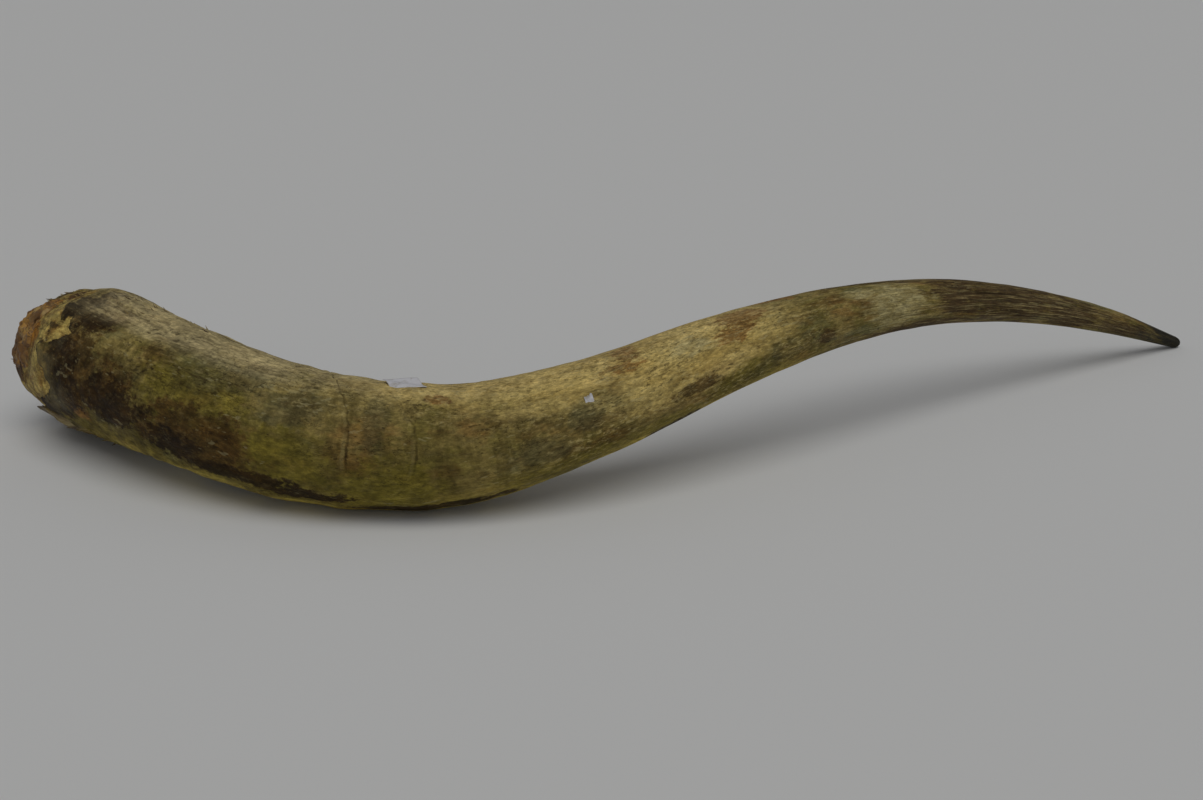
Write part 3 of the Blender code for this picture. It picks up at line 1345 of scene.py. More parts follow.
class Wiring:
    """Adds nodes to a tree and joins them up."""

    def __init__(self, tree: bpy.types.NodeTree) -> None:
        """Start with a tree.

        Args:
            tree: The tree to add to.
        """
        self.tree = tree

    def add(self, kind: str, **settings: object) -> bpy.types.Node:
        """Add a node.

        Args:
            kind: The node's type.
            settings: Its settings.

        Returns:
            The node.
        """
        node = self.tree.nodes.new(kind)
        node.location = (180.0 * (len(self.tree.nodes) % 12), -220.0 * (len(self.tree.nodes) // 12))
        for label, value in settings.items():
            setattr(node, label, value)
        return node

    def feed(self, socket: Socket, value: Feed) -> None:
        """Give a socket a value or join another socket to it."""
        if isinstance(value, bpy.types.NodeSocket):
            self.tree.links.new(value, socket)
        else:
            socket.default_value = value

    def math(self, operation: str, *values: Feed, clamp: bool = False) -> Socket:
        """Do a sum.

        Args:
            operation: What to do.
            values: What to do it with.
            clamp: Whether the result stays between 0 and 1.

        Returns:
            The result.
        """
        node = self.add("ShaderNodeMath", operation=operation, use_clamp=clamp)
        for socket, value in zip(node.inputs, values):
            self.feed(socket, value)
        return node.outputs[0]

    def times(self, first: Feed, *others: Feed) -> Socket:
        """Multiply values by each other."""
        for other in others:
            first = self.math("MULTIPLY", first, other)
        return first

    def plus(self, first: Feed, second: Feed) -> Socket:
        """Add two values."""
        return self.math("ADD", first, second)

    def blend(self, share: Feed, first: Feed, second: Feed) -> Socket:
        """Blend two values.

        Args:
            share: How much of the second.
            first: One value.
            second: The other.

        Returns:
            The blended value.
        """
        node = self.add("ShaderNodeMix", data_type="FLOAT")
        for index, value in ((0, share), (2, first), (3, second)):
            self.feed(node.inputs[index], value)
        return node.outputs[0]

    def vector(self, operation: str, first: Feed, second: Feed) -> Socket:
        """Do a sum on vectors.

        Args:
            operation: What to do, SCALE by a number or anything on two vectors.
            first: One vector.
            second: The number or the other vector.

        Returns:
            The result.
        """
        node = self.add("ShaderNodeVectorMath", operation=operation)
        self.feed(node.inputs[0], first)
        self.feed(node.inputs["Scale" if operation == "SCALE" else 1], second)
        return node.outputs[0]

    def mix(self, share: Feed, first: Feed, second: Feed, blend: str = "MIX") -> Socket:
        """Mix two colours.

        Args:
            share: How much of the second.
            first: One colour.
            second: The other.
            blend: How they mix.

        Returns:
            The mixed colour.
        """
        node = self.add("ShaderNodeMix", data_type="RGBA", blend_type=blend)
        self.feed(node.inputs[0], share)
        self.feed(node.inputs[6], first)
        self.feed(node.inputs[7], second)
        return node.outputs[2]

    def ramp(self, value: Feed, low: Feed, high: Feed, start: Feed = 0.0, end: Feed = 1.0) -> Socket:
        """Map a value smoothly from one range to another.

        Args:
            value: The value.
            low: Where its range starts.
            high: Where it ends.
            start: What the low end gives.
            end: What the high end gives.

        Returns:
            The mapped value.
        """
        node = self.add("ShaderNodeMapRange", interpolation_type="SMOOTHSTEP")
        for socket, given in zip(node.inputs, (value, low, high, start, end)):
            self.feed(socket, given)
        return node.outputs[0]

    def noise(self, place: Feed, scale: Feed, detail: float = 3.0, roughness: float = 0.55) -> Socket:
        """Add a cloudy pattern.

        Args:
            place: Where it is read.
            scale: How many clouds there are in a metre.
            detail: How many finer layers it has.
            roughness: How strong they are.

        Returns:
            The pattern, 0 to 1.
        """
        node = self.add("ShaderNodeTexNoise")
        self.feed(node.inputs["Vector"], place)
        self.feed(node.inputs["Scale"], scale)
        node.inputs["Detail"].default_value = detail
        node.inputs["Roughness"].default_value = roughness
        return node.outputs["Fac"]

    def stretched(self, place: Socket, share: Feed, offset: float = 0.0) -> Socket:
        """Draw a pattern out along the horn.

        Args:
            place: Where the pattern is read.
            share: How much shorter the distance along counts.
            offset: How far the pattern is moved along.

        Returns:
            The new place.
        """
        parts = self.add("ShaderNodeSeparateXYZ")
        self.feed(parts.inputs[0], place)
        joined = self.add("ShaderNodeCombineXYZ")
        self.feed(joined.inputs[0], parts.outputs[0])
        self.feed(joined.inputs[1], parts.outputs[1])
        moved = self.plus(parts.outputs[2], offset) if offset else parts.outputs[2]
        self.feed(joined.inputs[2], self.times(moved, share))
        return joined.outputs[0]

    def number(self, name: str, output: str = "Fac") -> Socket:
        """Read one of the mesh's own numbers."""
        return self.add("ShaderNodeAttribute", attribute_name=name).outputs[output]

    def group(self, tree: bpy.types.NodeTree, **values: Feed) -> bpy.types.Node:
        """Place a group and set its inputs by name.

        Args:
            tree: The group.
            values: What its inputs get, by name with _ for a space.

        Returns:
            The placed group.
        """
        node = self.add("ShaderNodeGroup", node_tree=tree)
        for label, value in values.items():
            self.feed(node.inputs[label.replace("_", " ")], value)
        return node


def new_group(name: str, inputs: dict[str, float | None], outputs: Sequence[str]) -> tuple:
    """Start a shader group.

    Args:
        name: The group's name.
        inputs: Each input's name and value, None for a place.
        outputs: Each output's name.

    Returns:
        The group, its wiring, its input node and its output node.
    """
    tree = bpy.data.node_groups.new(name, "ShaderNodeTree")
    for label, value in inputs.items():
        kind = "NodeSocketVector" if value is None else "NodeSocketFloat"
        socket = tree.interface.new_socket(name=label, in_out="INPUT", socket_type=kind)
        if value is not None:
            socket.default_value = value
    for label in outputs:
        tree.interface.new_socket(name=label, in_out="OUTPUT", socket_type="NodeSocketFloat")
    wiring = Wiring(tree)
    return tree, wiring, wiring.add("NodeGroupInput"), wiring.add("NodeGroupOutput")


class Effects:
    """The effects that more than one finish uses, each a group that is built once."""

    def __init__(self) -> None:
        """Build the groups."""
        self.ragged = self._ragged()
        self.streaks = self._streaks()
        self.specks = self._specks()
        self.veins = self._veins()

    @staticmethod
    def _ragged() -> bpy.types.NodeTree:
        """A patch whose edge is broken up, into clouds and into shreds along the grain."""
        inputs = {"Patch": 0.0, "Grain": None, "Size": 40.0, "Stretch": 0.4}
        inputs |= {"Raggedness": 1.0, "Softness": 0.2}
        tree, wiring, given, result = new_group("ragged patch", inputs, ["Mask"])
        cloud = wiring.noise(wiring.stretched(given.outputs["Grain"], 0.7), given.outputs["Size"], 4.0, 0.62)
        place = wiring.stretched(given.outputs["Grain"], given.outputs["Stretch"], 0.9)
        shred_size = wiring.times(given.outputs["Size"], 4.5)
        shred = wiring.noise(place, shred_size, 5.0, 0.7)
        swing = wiring.plus(wiring.times(cloud, 1.5), wiring.times(shred, 1.7))
        swing = wiring.times(wiring.math("SUBTRACT", swing, 1.6), given.outputs["Raggedness"])
        edge = wiring.plus(given.outputs["Patch"], swing)
        low = wiring.math("SUBTRACT", 0.5, given.outputs["Softness"])
        high = wiring.plus(0.5, given.outputs["Softness"])
        inside = wiring.math("MULTIPLY", given.outputs["Patch"], 5.0, clamp=True)
        wiring.feed(result.inputs["Mask"], wiring.times(wiring.ramp(edge, low, high), inside))
        return tree

    @staticmethod
    def _streaks() -> bpy.types.NodeTree:
        """Fine fibres that run along the horn."""
        inputs = {"Grain": None, "Size": 500.0, "Stretch": 0.05}
        tree, wiring, given, result = new_group("fibre streaks", inputs, ["Light", "Height"])
        place = wiring.stretched(given.outputs["Grain"], given.outputs["Stretch"])
        broad = wiring.noise(place, given.outputs["Size"], detail=4.0, roughness=0.6)
        fine_size = wiring.times(given.outputs["Size"], 2.7)
        fine = wiring.noise(place, fine_size, detail=3.0, roughness=0.6)
        both = wiring.plus(wiring.times(broad, 0.6), wiring.times(fine, 0.4))
        wiring.feed(result.inputs["Light"], wiring.ramp(both, 0.36, 0.64))
        wiring.feed(result.inputs["Height"], both)
        return tree

    @staticmethod
    def _specks() -> bpy.types.NodeTree:
        """Scattered specks."""
        inputs = {"Grain": None, "Size": 300.0, "Cover": 0.3}
        tree, wiring, given, result = new_group("specks", inputs, ["Mask"])
        place = wiring.stretched(given.outputs["Grain"], 0.6)
        fleck = wiring.noise(place, given.outputs["Size"], detail=2.0, roughness=0.5)
        size = wiring.times(given.outputs["Size"], 0.12)
        crowd = wiring.noise(place, size, detail=2.0, roughness=0.5)
        level = wiring.math("SUBTRACT", 1.02, given.outputs["Cover"])
        both = wiring.plus(fleck, wiring.times(wiring.math("SUBTRACT", crowd, 0.5), 0.6))
        wiring.feed(result.inputs["Mask"], wiring.ramp(both, level, wiring.plus(level, 0.05)))
        return tree

    @staticmethod
    def _veins() -> bpy.types.NodeTree:
        """Thin crooked lines that come and go, as fine cracks and scratches do."""
        inputs = {"Grain": None, "Size": 60.0, "Stretch": 0.5, "Width": 0.02}
        tree, wiring, given, result = new_group("veins", inputs, ["Mask"])
        place = wiring.stretched(given.outputs["Grain"], given.outputs["Stretch"], 1.1)
        field_of_lines = wiring.noise(place, given.outputs["Size"], detail=4.0, roughness=0.62)
        off_line = wiring.math("ABSOLUTE", wiring.math("SUBTRACT", field_of_lines, 0.5))
        crowd_size = wiring.times(given.outputs["Size"], 0.35)
        crowd = wiring.noise(wiring.stretched(place, 1.0, 2.3), crowd_size, detail=3.0, roughness=0.6)
        line = wiring.ramp(off_line, given.outputs["Width"], 0.0)
        wiring.feed(result.inputs["Mask"], wiring.times(line, wiring.ramp(crowd, 0.42, 0.58)))
        return tree


class Canvas(Wiring):
    """A material and its wiring, with the effects that it shares and the place that its patterns read."""

    def __init__(self, name: str, effects: Effects | None = None) -> None:
        """Start a material.

        Args:
            name: The material's name.
            effects: The effects that it shares with other materials.
        """
        self.material = bpy.data.materials.new(name)
        self.material.use_nodes = True
        super().__init__(self.material.node_tree)
        self.shader = self.tree.nodes["Principled BSDF"]
        self.effects = effects
        self.grain = self.number("grain", "Vector")
        parts = self.add("ShaderNodeSeparateXYZ")
        self.feed(parts.inputs[0], self.grain)
        self.up, self.along = parts.outputs[0], parts.outputs[2]

    def cloud(self, look: Cloud) -> Socket:
        """Add a cloudy pattern that is drawn out along the horn."""
        drawn_out = self.stretched(self.grain, look.stretch, look.offset)
        return self.noise(drawn_out, look.size, look.detail, look.roughness)

    def coat(self, colour: Feed, roughness: Feed) -> None:
        """Give the material its colour and its roughness."""
        self.feed(self.shader.inputs["Base Color"], colour)
        self.feed(self.shader.inputs["Roughness"], roughness)

    def emboss(self, heights: Socket, strength: float, distance: float) -> None:
        """Let a pattern stand out from the surface.

        Args:
            heights: The pattern.
            strength: How much of it shows, 0 to 1.
            distance: How far it stands out, in metres.
        """
        relief = self.add("ShaderNodeBump")
        relief.inputs["Strength"].default_value = strength
        relief.inputs["Distance"].default_value = distance
        self.feed(relief.inputs["Height"], heights)
        self.feed(self.shader.inputs["Normal"], relief.outputs[0])


@dataclass(frozen=True)
class ZoneFinish:
    """How a zone looks: two colours that mix in it, how much it covers, and how its edge breaks up."""

    zone: Zone
    colour: Colour
    other: Colour
    cover: float = 0.9
    size: float = 40.0
    stretch: float = 0.4
    raggedness: float = 1.0
    softness: float = 0.2


class Textures(NamedTuple):
    """The patterns that both the horn's colour and its finest relief use."""

    clouds: Socket
    streaks: Socket
    ridges: Socket
    mottle: Socket
    strength: Socket
    dots: Socket
    cracks: Socket


@dataclass(frozen=True)
class HornFinish:
    """Dry, weathered horn: olive to tan, with streaks along the grain, stains and worn places."""

    tan: Colour = tone(146, 128, 74)
    olive: Colour = tone(94, 82, 38)
    green: Colour = tone(98, 91, 36)
    brown: Colour = tone(88, 66, 30)
    grey_green: Colour = tone(100, 104, 74)
    russet: Colour = tone(140, 98, 50)
    band: Colour = tone(76, 64, 27)
    # Pale crest colour: bleaching, and a painted sheen of the bright sky
    crest_bleach_and_sheen: Colour = tone(202, 184, 138)
    # Painted bounce light: yellow for light from the floor shining on and through the horn underneath
    painted_bounce_underside: Colour = tone(184, 164, 74)
    light_fibre: Colour = tone(192, 174, 118)
    dark_fibre: Colour = tone(58, 44, 22)
    fleck: Colour = tone(188, 178, 132)
    groove: Colour = tone(34, 22, 8)
    cream: Colour = tone(178, 156, 86)
    cream_stain: Colour = tone(126, 98, 48)
    zones: tuple[ZoneFinish, ...] = (
        ZoneFinish(Zone.BLEACHED, tone(182, 166, 114), tone(146, 130, 84), 0.78, 34.0, 0.30, 1.0, 0.38),
        # Ochre: the horn's own colour, made brighter on top as painted light from above
        ZoneFinish(Zone.OCHRE, tone(218, 192, 118), tone(184, 157, 88), 0.90, 24.0, 0.35, 0.6, 0.60),
        ZoneFinish(Zone.MOSS, tone(124, 112, 40), tone(98, 89, 32), 0.68, 34.0, 0.80, 1.1, 0.36),
        ZoneFinish(Zone.UMBER, tone(80, 56, 25), tone(60, 43, 20), 0.80, 40.0, 0.70, 1.2, 0.26),
        ZoneFinish(Zone.SLATE, tone(86, 83, 56), tone(62, 58, 37), 0.50, 44.0, 0.80, 1.2, 0.38),
        ZoneFinish(Zone.STAIN, tone(112, 76, 34), tone(148, 110, 56), 0.82, 60.0, 0.50, 1.6, 0.24),
        ZoneFinish(Zone.PALE, tone(190, 178, 128), tone(158, 144, 94), 0.76, 60.0, 0.14, 1.3, 0.40),
        ZoneFinish(Zone.STREAK, tone(83, 65, 41), tone(62, 46, 28), 0.90, 60.0, 0.12, 1.5, 0.30),
        ZoneFinish(Zone.SOOT, tone(38, 25, 9), tone(52, 36, 14), 0.94, 44.0, 0.70, 1.1, 0.16),
    )
    rim_zones: tuple[ZoneFinish, ...] = (
        ZoneFinish(Zone.TISSUE, tone(162, 112, 44), tone(124, 82, 32), 0.95, 60.0, 0.80, 0.9, 0.10),
        ZoneFinish(Zone.RIND, tone(82, 50, 20), tone(58, 37, 16), 0.92, 60.0, 0.80, 0.9, 0.12),
        ZoneFinish(Zone.TIP, tone(43, 42, 35), tone(33, 32, 27), 0.97, 40.0, 0.20, 0.7, 0.34),
    )
    roughness: float = 0.60
    gloss: float = 0.09
    bump_strength: float = 0.60
    bump_distance: float = 0.0026
    broad_clouds: Cloud = Cloud(0.6, 0.3, 22.0, 5.0, 0.6)
    short_mottle: Cloud = Cloud(0.6, 8.3, 85.0, 7.0, 0.74)
    long_mottle: Cloud = Cloud(0.09, 8.3, 110.0, 7.0, 0.70)
    crumbs: Cloud = Cloud(0.6, 12.1, 220.0, 5.0, 0.70)
    grit: Cloud = Cloud(0.5, 6.9, 430.0, 3.0, 0.7)
    pores: Cloud = Cloud(0.5, 9.7, 600.0, 3.0, 0.7)
    greens: Cloud = Cloud(0.8, 1.7, 30.0, 5.0, 0.64)
    browns: Cloud = Cloud(0.5, 2.9, 42.0, 6.0, 0.68)
    tints: Cloud = Cloud(0.5, 11.3, 26.0, 5.0, 0.66)
    bands: Cloud = Cloud(5.0, 4.1, 14.0, 5.0, 0.68)
    patches: Cloud = Cloud(0.5, 13.7, 24.0, 4.0, 0.62)
    fibre_patches: Cloud = Cloud(0.7, 5.3, 30.0, 3.0, 0.6)
    crack_wobble: Cloud = Cloud(0.9, 4.7, 110.0, 4.0, 0.6)
    crack_breaks: Cloud = Cloud(1.0, 7.3, 70.0, 2.0, 0.5)
    rim_chips: Cloud = Cloud(0.4, 6.1, 130.0, 6.0, 0.74)
    rim_stains: Cloud = Cloud(0.4, 6.7, 100.0, 6.0, 0.74)
    rim_holes: Cloud = Cloud(0.45, 2.3, 130.0, 5.0, 0.70)
    rim_breaks: Cloud = Cloud(1.0, 3.1, 90.0, 3.0, 0.6)

    def build(self, effects: Effects) -> bpy.types.Material:
        """Make the material.

        Args:
            effects: The shared effects.

        Returns:
            The material.
        """
        canvas = Canvas("weathered horn", effects)
        textures = self._textures(canvas)
        worn = canvas.ramp(textures.clouds, 0.35, 0.65, self.roughness + 0.10, self.roughness - 0.08)
        canvas.coat(self._colour(canvas, textures), worn)
        canvas.shader.inputs["Specular IOR Level"].default_value = self.gloss
        canvas.emboss(self._heights(canvas, textures), self.bump_strength, self.bump_distance)
        return canvas.material

    def _textures(self, canvas: Canvas) -> Textures:
        """Add the patterns that more than one part of the finish uses.

        Args:
            canvas: The material.

        Returns:
            The patterns, drawn out further on top of the thick end and on the slim end.
        """
        effects, grain = canvas.effects, canvas.grain
        long_streaks = canvas.group(effects.streaks, Grain=grain, Size=190.0, Stretch=0.07)
        short_streaks = canvas.group(effects.streaks, Grain=grain, Size=240.0, Stretch=0.45)
        short_mottle, long_mottle = canvas.cloud(self.short_mottle), canvas.cloud(self.long_mottle)
        top = canvas.ramp(canvas.up, 0.45 * GRAIN_RADIUS, 0.85 * GRAIN_RADIUS, 0.0, 0.60)
        top = canvas.times(top, canvas.ramp(canvas.along, 0.46, 0.30))
        lengthwise = canvas.math("MAXIMUM", top, canvas.ramp(canvas.along, 0.80, 1.00))
        dots = canvas.group(effects.specks, Grain=canvas.stretched(grain, 0.8, 3.7), Size=330.0, Cover=0.31)
        cracks = canvas.group(effects.veins, Grain=grain, Size=150.0, Stretch=0.40, Width=0.014)
        return Textures(
            clouds=canvas.cloud(self.broad_clouds),
            streaks=canvas.blend(lengthwise, short_streaks.outputs["Light"], long_streaks.outputs["Light"]),
            ridges=canvas.blend(lengthwise, short_streaks.outputs["Height"], long_streaks.outputs["Height"]),
            mottle=canvas.blend(lengthwise, short_mottle, long_mottle),
            strength=self._fibrous(canvas),
            dots=dots.outputs["Mask"],
            cracks=cracks.outputs["Mask"],
        )

    def _colour(self, canvas: Canvas, textures: Textures) -> Socket:
        """Paint the horn, from its ground colour up to its cracks.

        Args:
            canvas: The material.
            textures: The shared patterns.

        Returns:
            The colour.
        """
        colour = self._ground(canvas, textures.clouds)
        for zone in self.zones:
            colour = self._zone(canvas, zone, colour)
        colour = self._bleached_crest_and_sheen(canvas, textures.streaks, colour)
        light = canvas.ramp(textures.streaks, 0.55, 1.0, 0.0, 0.55)
        colour = canvas.mix(canvas.times(light, textures.strength), colour, self.light_fibre)
        dark = canvas.ramp(textures.streaks, 0.45, 0.0, 0.0, 0.50)
        colour = canvas.mix(canvas.times(dark, textures.strength), colour, self.dark_fibre)
        colour = self._worn_rim(canvas, colour)
        for zone in self.rim_zones:
            colour = self._zone(canvas, zone, colour)
        colour = self._shaded(canvas, textures.mottle, colour)
        colour = self._marks_and_painted_light(canvas, textures, colour)
        return self._cracks(canvas, colour)

    def _shaded(self, canvas: Canvas, mottle: Socket, colour: Socket) -> Socket:
        """Mottle a colour, coarsely and finely, most near the base.

        Args:
            canvas: The material.
            mottle: The coarse mottle.
            colour: The colour.

        Returns:
            The new colour.
        """
        darkest = canvas.ramp(canvas.along, 0.50, 0.14, 0.76, 0.50)
        lightest = canvas.ramp(canvas.along, 0.50, 0.14, 1.22, 1.56)
        shadows = canvas.times(
            canvas.ramp(mottle, 0.30, 0.70, darkest, lightest),
            canvas.ramp(canvas.cloud(self.crumbs), 0.32, 0.68, 0.82, 1.20),
            canvas.ramp(canvas.cloud(self.grit), 0.32, 0.68, 0.78, 1.25),
        )
        return canvas.mix(1.0, colour, shadows, "MULTIPLY")

    def _marks_and_painted_light(self, canvas: Canvas, textures: Textures, colour: Socket) -> Socket:
        """Add scratches, fissures, flecks and dots, paint raised places paler as wear and painted highlight,
        and paint shade where the relief lies deep.

        Args:
            canvas: The material.
            textures: The shared patterns.
            colour: What lies under them.

        Returns:
            The new colour.
        """
        colour = canvas.mix(canvas.times(textures.cracks, 0.50), colour, self.groove)
        veins = canvas.effects.veins
        fissures = canvas.group(veins, Grain=canvas.grain, Size=115.0, Stretch=0.12, Width=0.026)
        upper = canvas.ramp(canvas.up, 0.30 * GRAIN_RADIUS, 0.75 * GRAIN_RADIUS)
        upper = canvas.times(upper, canvas.ramp(canvas.along, 0.40, 0.30))
        fissures = canvas.times(fissures.outputs["Mask"], upper, 0.70)
        colour = canvas.mix(fissures, colour, self.dark_fibre)
        moved = canvas.stretched(canvas.grain, 0.5, 1.9)
        flecks = canvas.group(canvas.effects.specks, Grain=moved, Size=300.0, Cover=0.33)
        colour = canvas.mix(canvas.times(flecks.outputs["Mask"], 0.24), colour, self.fleck)
        colour = canvas.mix(canvas.times(textures.dots, 0.50), colour, self.groove)
        # Paler on raised places: wear, and a painted highlight
        high = canvas.ramp(canvas.number("relief"), 0.9, 2.4, 0.0, 0.16)
        colour = canvas.mix(high, colour, self.fleck)
        # Painted shade: darker where the relief lies deep
        deep = canvas.ramp(canvas.number("relief"), -0.35, -1.7, 0.0, 0.60)
        return canvas.mix(deep, colour, self.groove)

    def _heights(self, canvas: Canvas, textures: Textures) -> Socket:
        """Add up the relief that is too fine for the mesh.

        Args:
            canvas: The material.
            textures: The shared patterns.

        Returns:
            The heights.
        """
        ridges = canvas.times(textures.ridges, canvas.times(textures.strength, 0.9))
        heights = canvas.plus(ridges, textures.mottle)
        heights = canvas.plus(heights, canvas.times(canvas.cloud(self.pores), 0.35))
        heights = canvas.math("SUBTRACT", heights, canvas.times(textures.cracks, 0.35))
        return canvas.math("SUBTRACT", heights, canvas.times(textures.dots, 0.3))

    def _ground(self, canvas: Canvas, cloud: Socket) -> Socket:
        """Lay the ground colour: olive below and tan on top, in green and brown clouds, with painted bounce
        light in yellow underneath.

        Args:
            canvas: The material.
            cloud: The broad clouds.

        Returns:
            The colour.
        """
        crown = canvas.ramp(canvas.up, -0.1 * GRAIN_RADIUS, 1.05 * GRAIN_RADIUS)
        crown = canvas.math("MAXIMUM", crown, canvas.ramp(canvas.along, 0.42, 0.54, 0.0, 0.62))
        swing = canvas.times(canvas.math("SUBTRACT", cloud, 0.5), 1.3)
        colour = canvas.mix(canvas.math("ADD", crown, swing, clamp=True), self.olive, self.tan)
        greens = canvas.ramp(canvas.cloud(self.greens), 0.45, 0.64, 0.0, 0.60)
        colour = canvas.mix(greens, colour, self.green)
        browner = canvas.ramp(canvas.along, 0.30, 0.20, 0.65, 0.90)
        browns = canvas.ramp(canvas.cloud(self.browns), 0.50, 0.62, 0.0, browner)
        colour = canvas.mix(browns, colour, self.brown)
        tints = canvas.cloud(self.tints)
        colour = canvas.mix(canvas.ramp(tints, 0.53, 0.66, 0.0, 0.48), colour, self.grey_green)
        colour = canvas.mix(canvas.ramp(tints, 0.47, 0.34, 0.0, 0.38), colour, self.russet)
        bands = canvas.ramp(canvas.cloud(self.bands), 0.44, 0.60)
        belly = canvas.ramp(canvas.along, 0.75, 0.55, 0.0, 0.50)
        colour = canvas.mix(canvas.times(bands, belly), colour, self.band)
        # Painted bounce light: paler yellow underneath, where light from the floor falls
        painted_bounce_under = canvas.times(
            canvas.ramp(canvas.up, -0.20 * GRAIN_RADIUS, -0.85 * GRAIN_RADIUS),
            canvas.ramp(canvas.cloud(self.patches), 0.40, 0.56, 0.25, 0.95),
            canvas.ramp(canvas.along, 0.12, 0.22),
            canvas.ramp(canvas.along, 0.90, 0.76),
        )
        return canvas.mix(painted_bounce_under, colour, self.painted_bounce_underside)

    @staticmethod
    def _zone(canvas: Canvas, zone: ZoneFinish, colour: Socket) -> Socket:
        """Paint one zone over a colour.

        Args:
            canvas: The material.
            zone: The zone's finish.
            colour: What lies under it.

        Returns:
            The new colour.
        """
        mask = canvas.group(
            canvas.effects.ragged,
            Patch=canvas.number(zone.zone.value),
            Grain=canvas.grain,
            Size=zone.size,
            Stretch=zone.stretch,
            Raggedness=zone.raggedness,
            Softness=zone.softness,
        ).outputs["Mask"]
        varied = canvas.cloud(Cloud(0.4, 0.1 * zone.size, 2.2 * zone.size, 4.0, 0.65))
        paint = canvas.mix(canvas.ramp(varied, 0.38, 0.62), zone.colour, zone.other)
        return canvas.mix(canvas.times(mask, zone.cover), colour, paint)

    def _bleached_crest_and_sheen(self, canvas: Canvas, streaks: Socket, colour: Socket) -> Socket:
        """Lighten the crest: bleaching where sun and rain reach it, and a painted sheen of the bright sky
        along it.

        Args:
            canvas: The material.
            streaks: The fibres.
            colour: What lies under it.

        Returns:
            The new colour.
        """
        # Painted sheen: the crest is painted paler for light from the sky as well as for bleaching
        crest = canvas.times(
            canvas.ramp(canvas.up, 0.84 * GRAIN_RADIUS, 1.00 * GRAIN_RADIUS),
            canvas.ramp(canvas.along, 0.48, 0.28, 0.38, 1.0),
            canvas.ramp(canvas.along, 0.10, 0.14, 0.3, 1.0),
            canvas.ramp(canvas.along, 0.90, 0.76),
            canvas.ramp(streaks, 0.10, 0.90, 0.28, 0.66),
        )
        return canvas.mix(crest, colour, self.crest_bleach_and_sheen)

    def _cracks(self, canvas: Canvas, colour: Socket) -> Socket:
        """Draw the cracks along the growth rings, with a paler lip on the base's side of each.

        Args:
            canvas: The material.
            colour: The colour round them.

        Returns:
            The new colour.
        """
        wobble = canvas.cloud(self.crack_wobble)
        wobble = canvas.times(canvas.math("SUBTRACT", wobble, 0.5), 5.0)
        gap = canvas.plus(canvas.number("crack gap"), wobble)
        broken = canvas.ramp(canvas.cloud(self.crack_breaks), 0.36, 0.52)
        broken = canvas.times(broken, canvas.number("crack"))
        lip = canvas.ramp(canvas.math("ABSOLUTE", canvas.plus(gap, 2.6)), 2.0, 0.6, 0.0, 0.20)
        colour = canvas.mix(canvas.times(lip, broken), colour, self.light_fibre)
        line = canvas.ramp(canvas.math("ABSOLUTE", gap), 1.25, 0.40, 0.0, 0.74)
        return canvas.mix(canvas.times(line, broken), colour, self.groove)

    def _fibrous(self, canvas: Canvas) -> Socket:
        """Weigh how fibrous each place looks: most on top and on the slim end.

        Args:
            canvas: The material.

        Returns:
            The weight, 0 to 1.
        """
        patchy = canvas.cloud(self.fibre_patches)
        slim = canvas.ramp(canvas.along, 0.46, 0.66)
        top = canvas.ramp(canvas.up, 0.35 * GRAIN_RADIUS, 0.95 * GRAIN_RADIUS, 0.0, 0.80)
        where = canvas.math("MAXIMUM", canvas.math("MAXIMUM", slim, top), 0.12)
        return canvas.times(canvas.ramp(patchy, 0.35, 0.62, 0.35, 1.0), where)

    def _worn_rim(self, canvas: Canvas, colour: Socket) -> Socket:
        """Bare the pale inner layer up to the outer layer's broken edge, which is painted dark with dirt and
        with painted shade under the step.

        Args:
            canvas: The material.
            colour: The outer layer's colour.

        Returns:
            The new colour.
        """
        chips = canvas.cloud(self.rim_chips)
        chips = canvas.times(canvas.math("SUBTRACT", chips, 0.5), 46.0)
        past = canvas.plus(canvas.number("past edge"), chips)
        varied = canvas.cloud(self.rim_stains)
        inner = canvas.mix(canvas.ramp(varied, 0.40, 0.60), self.cream, self.cream_stain)
        holes = canvas.cloud(self.rim_holes)
        inner = canvas.mix(canvas.ramp(holes, 0.56, 0.64, 0.0, 0.85), inner, self.dark_fibre)
        colour = canvas.mix(canvas.ramp(past, 0.8, -0.8), colour, inner)
        # Dark line at the broken edge: dirt, and painted shade under the step
        off_edge = canvas.math("ABSOLUTE", canvas.math("SUBTRACT", past, 2.5))
        broken = canvas.ramp(canvas.cloud(self.rim_breaks), 0.40, 0.54)
        line = canvas.times(canvas.ramp(off_edge, 5.0, 2.0, 0.0, 0.80), broken)
        return canvas.mix(line, colour, self.groove)


@dataclass(frozen=True)
class BareHornFinish:
    """The hollow, the broken rim and what has split off: brown, fibrous horn, paler where it broke."""

    colour: Colour = tone(132, 112, 64)
    deep: Colour = tone(70, 54, 32)
    pale: Colour = tone(184, 170, 122)
    clouds: Cloud = Cloud(0.5, 0.7, 45.0, 5.0, 0.66)

    def build(self, effects: Effects) -> bpy.types.Material:
        """Make the material.

        Args:
            effects: The shared effects.

        Returns:
            The material.
        """
        canvas = Canvas("bare horn", effects)
        cloud = canvas.cloud(self.clouds)
        colour = canvas.mix(canvas.ramp(cloud, 0.4, 0.62), self.colour, self.deep)
        streaks = canvas.group(effects.streaks, Grain=canvas.grain, Size=200.0, Stretch=0.08)
        light = canvas.ramp(streaks.outputs["Light"], 0.5, 1.0, 0.0, 0.45)
        colour = canvas.mix(light, colour, self.pale)
        canvas.coat(colour, canvas.ramp(cloud, 0.3, 0.7, 0.85, 0.65))
        canvas.emboss(streaks.outputs["Height"], 0.6, 0.002)
        return canvas.material


